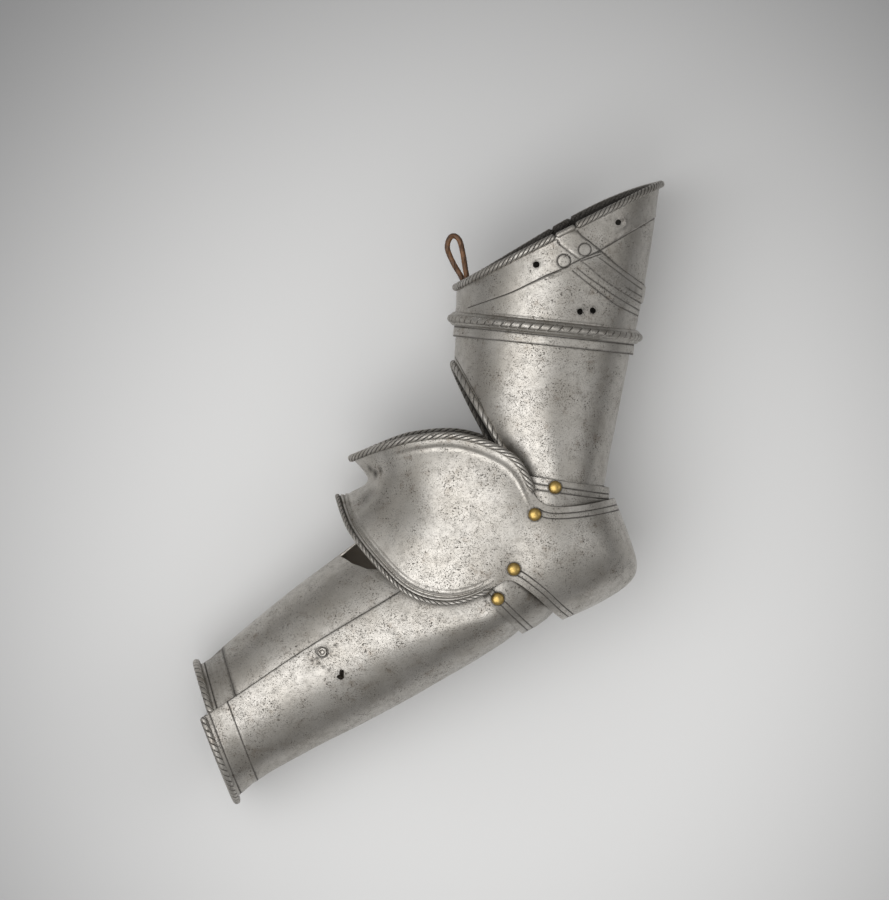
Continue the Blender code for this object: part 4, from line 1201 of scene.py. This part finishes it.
def build_forearm(outer_mat, inner_mat):
    table = FOREARM[:-1] + [OUTER_RIM]
    last = len(table) - 1

    def outer_row(at, cols=OUTER_COLS):
        seam = float(seam_angles(at))
        return ring_points(through(table, at), np.linspace(SEAM_BUTT - seam, seam, cols))

    grid = np.stack([outer_row(at) for at in even_places(outer_row, last, OUTER_ROWS)])
    from_cuff = down_lengths(grid)[-1] - down_lengths(grid)
    step = OUTER_STEP + 1.2 * np.sin(np.linspace(0, 9, grid.shape[1]))
    relief = hammered(grid, 51, 0.06)
    relief -= 0.6 * smooth((step - from_cuff) / 1.8)
    grid = displaced(grid, False, relief)
    stud_point, stud_out = forearm_frame(STUD_RING, float(seam_angles(STUD_RING)) - STUD_INSET)
    bm = sheet_mesh(grid, False, PLATE)
    engrave(bm, [edge_line(grid, from_end, True) for from_end in OUTER_LINES], 0.55, 0.3)
    soil_and_shade(bm, [stud_point], 6.2, 1.0)
    soil_and_shade(bm, near_spot(grid, False, *CANNON_HOLE)[:1], 4.6, 0.8)
    for x, y, radius, amount in STUD_STAINS:
        spot = near_spot(grid, False, stud_point[0] + x, stud_point[1] + y)
        soil_and_shade(bm, spot, radius, amount)
    places = np.linspace(0, last, SEAM_POINTS)
    seam = ring_points(through(table, places), seam_angles(places))
    # painted shadow along the seam's edge
    soil_and_shade(bm, seam, 0.9, 1.2)
    outer = finish_mesh("forearm_outer_plate", bm, outer_mat)
    jagged = [(CANNON_HOLE[0] + x, CANNON_HOLE[1] + y) for x, y in HOLE_OUTLINE]
    stud_hole = round_outline(Spot(*stud_point[:2], STUD_HOLE), rough=0.13, seed=8)
    drill(outer, [jagged, stud_hole])
    drill(outer, [rivet_hole(PIVOTS["lower_cannon"])], THROUGH)

    path, outward = roll_path(outer_row(last, 300), ring_middle(OUTER_RIM))
    outer_rope = rope("forearm_outer_rope", path, outward, outer_mat, taper=1.5, hand=-1)

    cut_at, cut_start = np.transpose(ELBOW_CUT)

    def inner_angles(at):
        seam = float(seam_angles(at))
        crest = np.radians((178.0, 181.0))
        ends = ((seam - SEAM_LAP, crest[0]), (crest[1], 2 * math.pi - seam - SEAM_BUTT))
        return np.concatenate([np.linspace(*pair, cols) for pair, cols in zip(ends, INNER_COLS)])

    starts = np.interp(np.degrees(inner_angles(0.0)), cut_at, cut_start)
    rows = []
    for share in np.linspace(0, 1, INNER_ROWS):
        at = starts + (last - starts) * share
        angles = np.array([inner_angles(a)[k] for k, a in enumerate(at)])
        opening = SEAM_DROP + CUFF_DROP * smooth((at - 4.0) / 3.0)
        rows.append(ring_points(through(FOREARM, at), angles, opening))
    grid = np.stack(rows)
    from_cuff = down_lengths(grid)[-1] - down_lengths(grid)
    relief = hammered(grid, 67, 0.06) * smooth(down_lengths(grid) / 4)
    relief -= 1.7 * smooth((INNER_STEP - from_cuff) / 3.2)
    grid = displaced(grid, False, relief)
    bm = sheet_mesh(grid, False, PLATE)
    engrave(bm, [edge_line(grid, from_end, True) for from_end in INNER_LINES], 0.7, 0.4)
    # painted shadow in the seam's gap, widest towards the cuff
    for count, radius, amount in SEAM_SHADOW:
        soil_and_shade(bm, seam[-count:], radius, amount)
    soil_and_shade(bm, [stud_point], 7.0, 1.1)
    # painted shade at the cuff's step, and a painted dark reflection across the band behind it
    soil_and_shade(bm, edge_line(grid, INNER_LINES[0], True), 3.0, 0.8)
    for distance in (8, 12, 16):
        soil_and_shade(bm, edge_line(grid, distance, True), 4.5, 0.3)
    inner = finish_mesh("forearm_inner_plate", bm, inner_mat)
    drill(inner, [rivet_hole(stud_point)])
    seam_end = float(seam_angles(last))
    angles = np.linspace(seam_end - math.radians(1), math.radians(354) - seam_end, 300)
    rim = ring_points(through(FOREARM, float(last)), angles, SEAM_DROP + CUFF_DROP)
    path, outward = roll_path(rim, ring_middle(FOREARM[-1]))
    inner_rope = rope("forearm_inner_rope", path, outward, inner_mat, taper=1.5, hand=-1)
    return [outer, outer_rope], [inner, inner_rope], (stud_point, stud_out)


def turned(name, profile, origin, outward, material):
    """A turned piece: (radius, height) points down its outer side, in mm, and their dirt and painted shade."""
    z = Vector(outward).normalized()
    x = z.orthogonal().normalized()
    y = z.cross(x)
    count = 56
    bm, _, dirt_and_shade = blank_mesh()
    rings = []
    for radius, height, grime_and_shade in profile:
        ring = []
        for angle in full_turn(1 if radius == 0 else count):
            point = x * (radius * math.cos(angle)) + y * (radius * math.sin(angle)) + z * height
            vert = bm.verts.new(point + Vector(origin))
            vert[dirt_and_shade] = grime_and_shade
            ring.append(vert)
        rings.append(ring * (count // len(ring)))  # a point on the axis fills its whole ring
    for upper, lower in zip(rings, rings[1:]):
        for k in range(count):
            j = (k + 1) % count
            corners = (upper[j], upper[k], lower[k], lower[j])
            bm.faces.new(tuple(dict.fromkeys(corners)))
    bmesh.ops.recalc_face_normals(bm, faces=bm.faces)
    return finish_mesh(name, bm, material)


def build_rivets(mat):
    """Domed brass heads over a shank and a washer, where the CAD rivets are."""
    made = {}
    for number, pivot in enumerate(("upper_cannon", "upper_lame", "lower_lame", "lower_cannon")):
        for side, sign in (("near", 1), ("far", -1)):
            node = f"rivet_{number + 1}_{side}"
            depths = arm_points(node)[:, 2] * sign
            height = depths.max() - RIVET_RISE
            low = depths.min() - height
            profile = []
            for angle in np.linspace(0, math.pi / 2, 12):
                radius = RIVET_HEAD * math.sin(angle)
                profile.append((radius, RIVET_RISE * math.cos(angle) ** 0.85, 0.0))
            # painted shade: the rim of the head and everything under it are darkened
            profile[-1] = (RIVET_HEAD, 0.35, 0.7)
            profile += [(RIVET_HEAD, 0.0, 1), (1.6, 0.0, 1), (1.6, low + 0.9, 1)]
            profile += [(3.6, low + 0.9, 0.5), (3.6, low + 0.2, 0.3), (3.4, low, 0.3)]
            profile += [(1.4, low, 0.5), (0, low, 0.2)]
            origin = (*PIVOTS[pivot][:2], sign * height)
            made[node] = turned(node + "_head", profile, origin, (0, 0, sign), mat)
    return made


def build_stud(mat, point, outward):
    low = -PLATE - SEAM_DROP - 1.9
    # painted shade in the head's pit and under its rim
    profile = [(0, 0.8, 0.0), (0.9, 0.75, 0.0), (1.2, 0.4, 0.5), (1.5, 0.4, 0.4),
               (1.8, 0.9, 0.0), (2.2, 1.05, 0.0), (2.7, 0.95, 0.0), (3.0, 0.4, 0.2),
               (3.0, -0.9, 1), (1.6, -1.0, 1), (1.6, low + 0.9, 1), (3.6, low + 0.9, 1),
               (3.6, low, 0.5), (0, low, 0.3)]
    return turned("closing_stud_head", profile, point, outward, mat)


def build_loop(mat):
    """The leather thong, twisted a little on itself."""
    path = curve(LOOP_PATH, 260)
    along = unit(np.gradient(path, axis=0))
    outward = np.cross(along, (0.0, 0.0, 1.0))
    return rope("leather_thong", path, outward, mat, radius=LOOP_THICK / 2 + 0.05,
                pitch=11.0, strands=2, taper=0.5)


# --- The harness -----------------------------------------------------------------------

TURN, SHIFT = arm_matrix()

# How bright each steel is, the inner plate's a little brighter as painted light; how pale its inner face is, as
# painted shade or light; and how matt that face is
STEEL_LOOKS = {
    "turner": (0.50, 0.02, 0.95),
    "upper_cannon": (0.51, 0.02, 0.95),
    "upper_lame": (0.47, 0.05, 0.9),
    "couter": (0.54, 0.35, 0.4),
    "lower_lame": (0.48, 0.35, 0.4),
    "outer_plate": (0.50, 0.35, 0.5),
    "inner_plate": (0.54, 0.75, 0.4),
    "stud": (0.55, 0.1, 0.9),
    "hinge": (0.42, 0.1, 0.9),
}
STEELS = {
    name: steel(name + "_steel", seed, *looks)
    for seed, (name, looks) in enumerate(STEEL_LOOKS.items())
}
BRASS = brass("rivet_brass")
LEATHER = leather("thong_leather")


def keep(pieces, body, node):
    """Put pieces on a body, in place of a CAD node, which is hidden."""
    for piece in pieces:
        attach(piece, body)
        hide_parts(node)


keep(build_turner(STEELS["turner"]), "turner", "turner")
keep(build_cannon(STEELS["upper_cannon"]), "upper_cannon", "upper_cannon")
lame = build_lame("upper_lame_plate", UPPER_LAME, UPPER_REACH, RIVETS["upper_cannon"],
                  STEELS["upper_lame"], 71, False)
keep([lame], "upper_lame", "upper_lame")
keep(build_couter(STEELS["couter"]), "couter", "couter")
lame = build_lame("lower_lame_plate", LOWER_LAME, LOWER_REACH, RIVETS["lower_cannon"],
                  STEELS["lower_lame"], 83, True)
keep([lame], "lower_lame", "lower_lame")
outer, inner, stud_place = build_forearm(STEELS["outer_plate"], STEELS["inner_plate"])
keep(outer, "lower_cannon", "lower_cannon_outer")
keep(inner, "lower_cannon", "lower_cannon_inner")
stud = build_stud(STEELS["stud"], *stud_place)
keep([stud], "lower_cannon", "closing_stud")
keep([build_loop(LEATHER)], "turner", "leather_loop")

owners = {
    node: body for body, nodes in frame["record"]["behaviour"]["bodies"].items() for node in nodes
}
for node, rivet in build_rivets(BRASS).items():
    keep([rivet], owners[node], node)
hinge = frame["nodes"]["cannon_hinge"]
hinge.data.materials.clear()
hinge.data.materials.append(STEELS["hinge"])


# --- Floor, light and camera -----------------------------------------------------------


def add_floor():
    mesh = bpy.data.meshes.new("floor")
    corners = [(-4, -4, 0), (4, -4, 0), (4, 4, 0), (-4, 4, 0)]
    mesh.from_pydata(corners, [], [(0, 1, 2, 3)])
    mesh.materials.append(floor_with_painted_pool("floor_painted_light"))
    add_object("floor", mesh)


def add_softbox(name, place_at, size, power):
    light = bpy.data.lights.new(name, "AREA")
    light.shape = "RECTANGLE"
    light.size, light.size_y = size
    light.energy = power
    obj = add_object(name, light)
    obj.location = place_at
    direction = Vector((0.0, 0.0, 0.05)) - Vector(place_at)
    obj.rotation_euler = direction.to_track_quat("-Z", "Y").to_euler()


def add_camera():
    distance = 9.0
    view_width = 0.6045  # what the picture spans at the harness, in metres
    pitch = math.radians(0.3)
    back = TURN @ np.array((0, math.sin(pitch), math.cos(pitch)))
    up = TURN @ np.array((0, 1, 0))
    right = unit(np.cross(up, back))
    up = np.cross(back, right)
    camera = bpy.data.cameras.new("camera")
    camera.sensor_fit = "HORIZONTAL"
    camera.sensor_width = 36
    camera.lens = camera.sensor_width * distance / view_width
    camera.clip_end = 50
    obj = add_object("camera", camera)
    matrix = Matrix(np.column_stack([right, up, back]).tolist()).to_4x4()
    matrix.translation = Vector(SHIFT + back * distance)
    obj.matrix_world = matrix
    bpy.context.scene.camera = obj


def add_world():
    """A dim room that grows brighter overhead, towards the key light."""
    n = Nodes(bpy.data.worlds.new("studio"), "Background")
    way = n.add("TexCoord").outputs["Generated"]
    bright_way = Vector((-0.30, -0.10, 1.0)).normalized()
    dot = n.add("VectorMath", {0: way, 1: bright_way}, operation="DOT_PRODUCT")
    glow = n.ramp(dot.outputs["Value"], 0.0, 1.05, 0.26, 0.66)
    n.feed(n.last, {"Color": (1.0, 0.995, 0.98, 1), "Strength": glow})
    bpy.context.scene.world = n.owner


add_floor()
add_world()
add_softbox("key", (-0.85, -0.30, 1.85), (2.0, 2.0), 22)
add_softbox("side", (1.7, 0.1, 1.25), (1.2, 1.6), 3.0)
bpy.context.scene.view_settings.view_transform = "Standard"
add_camera()
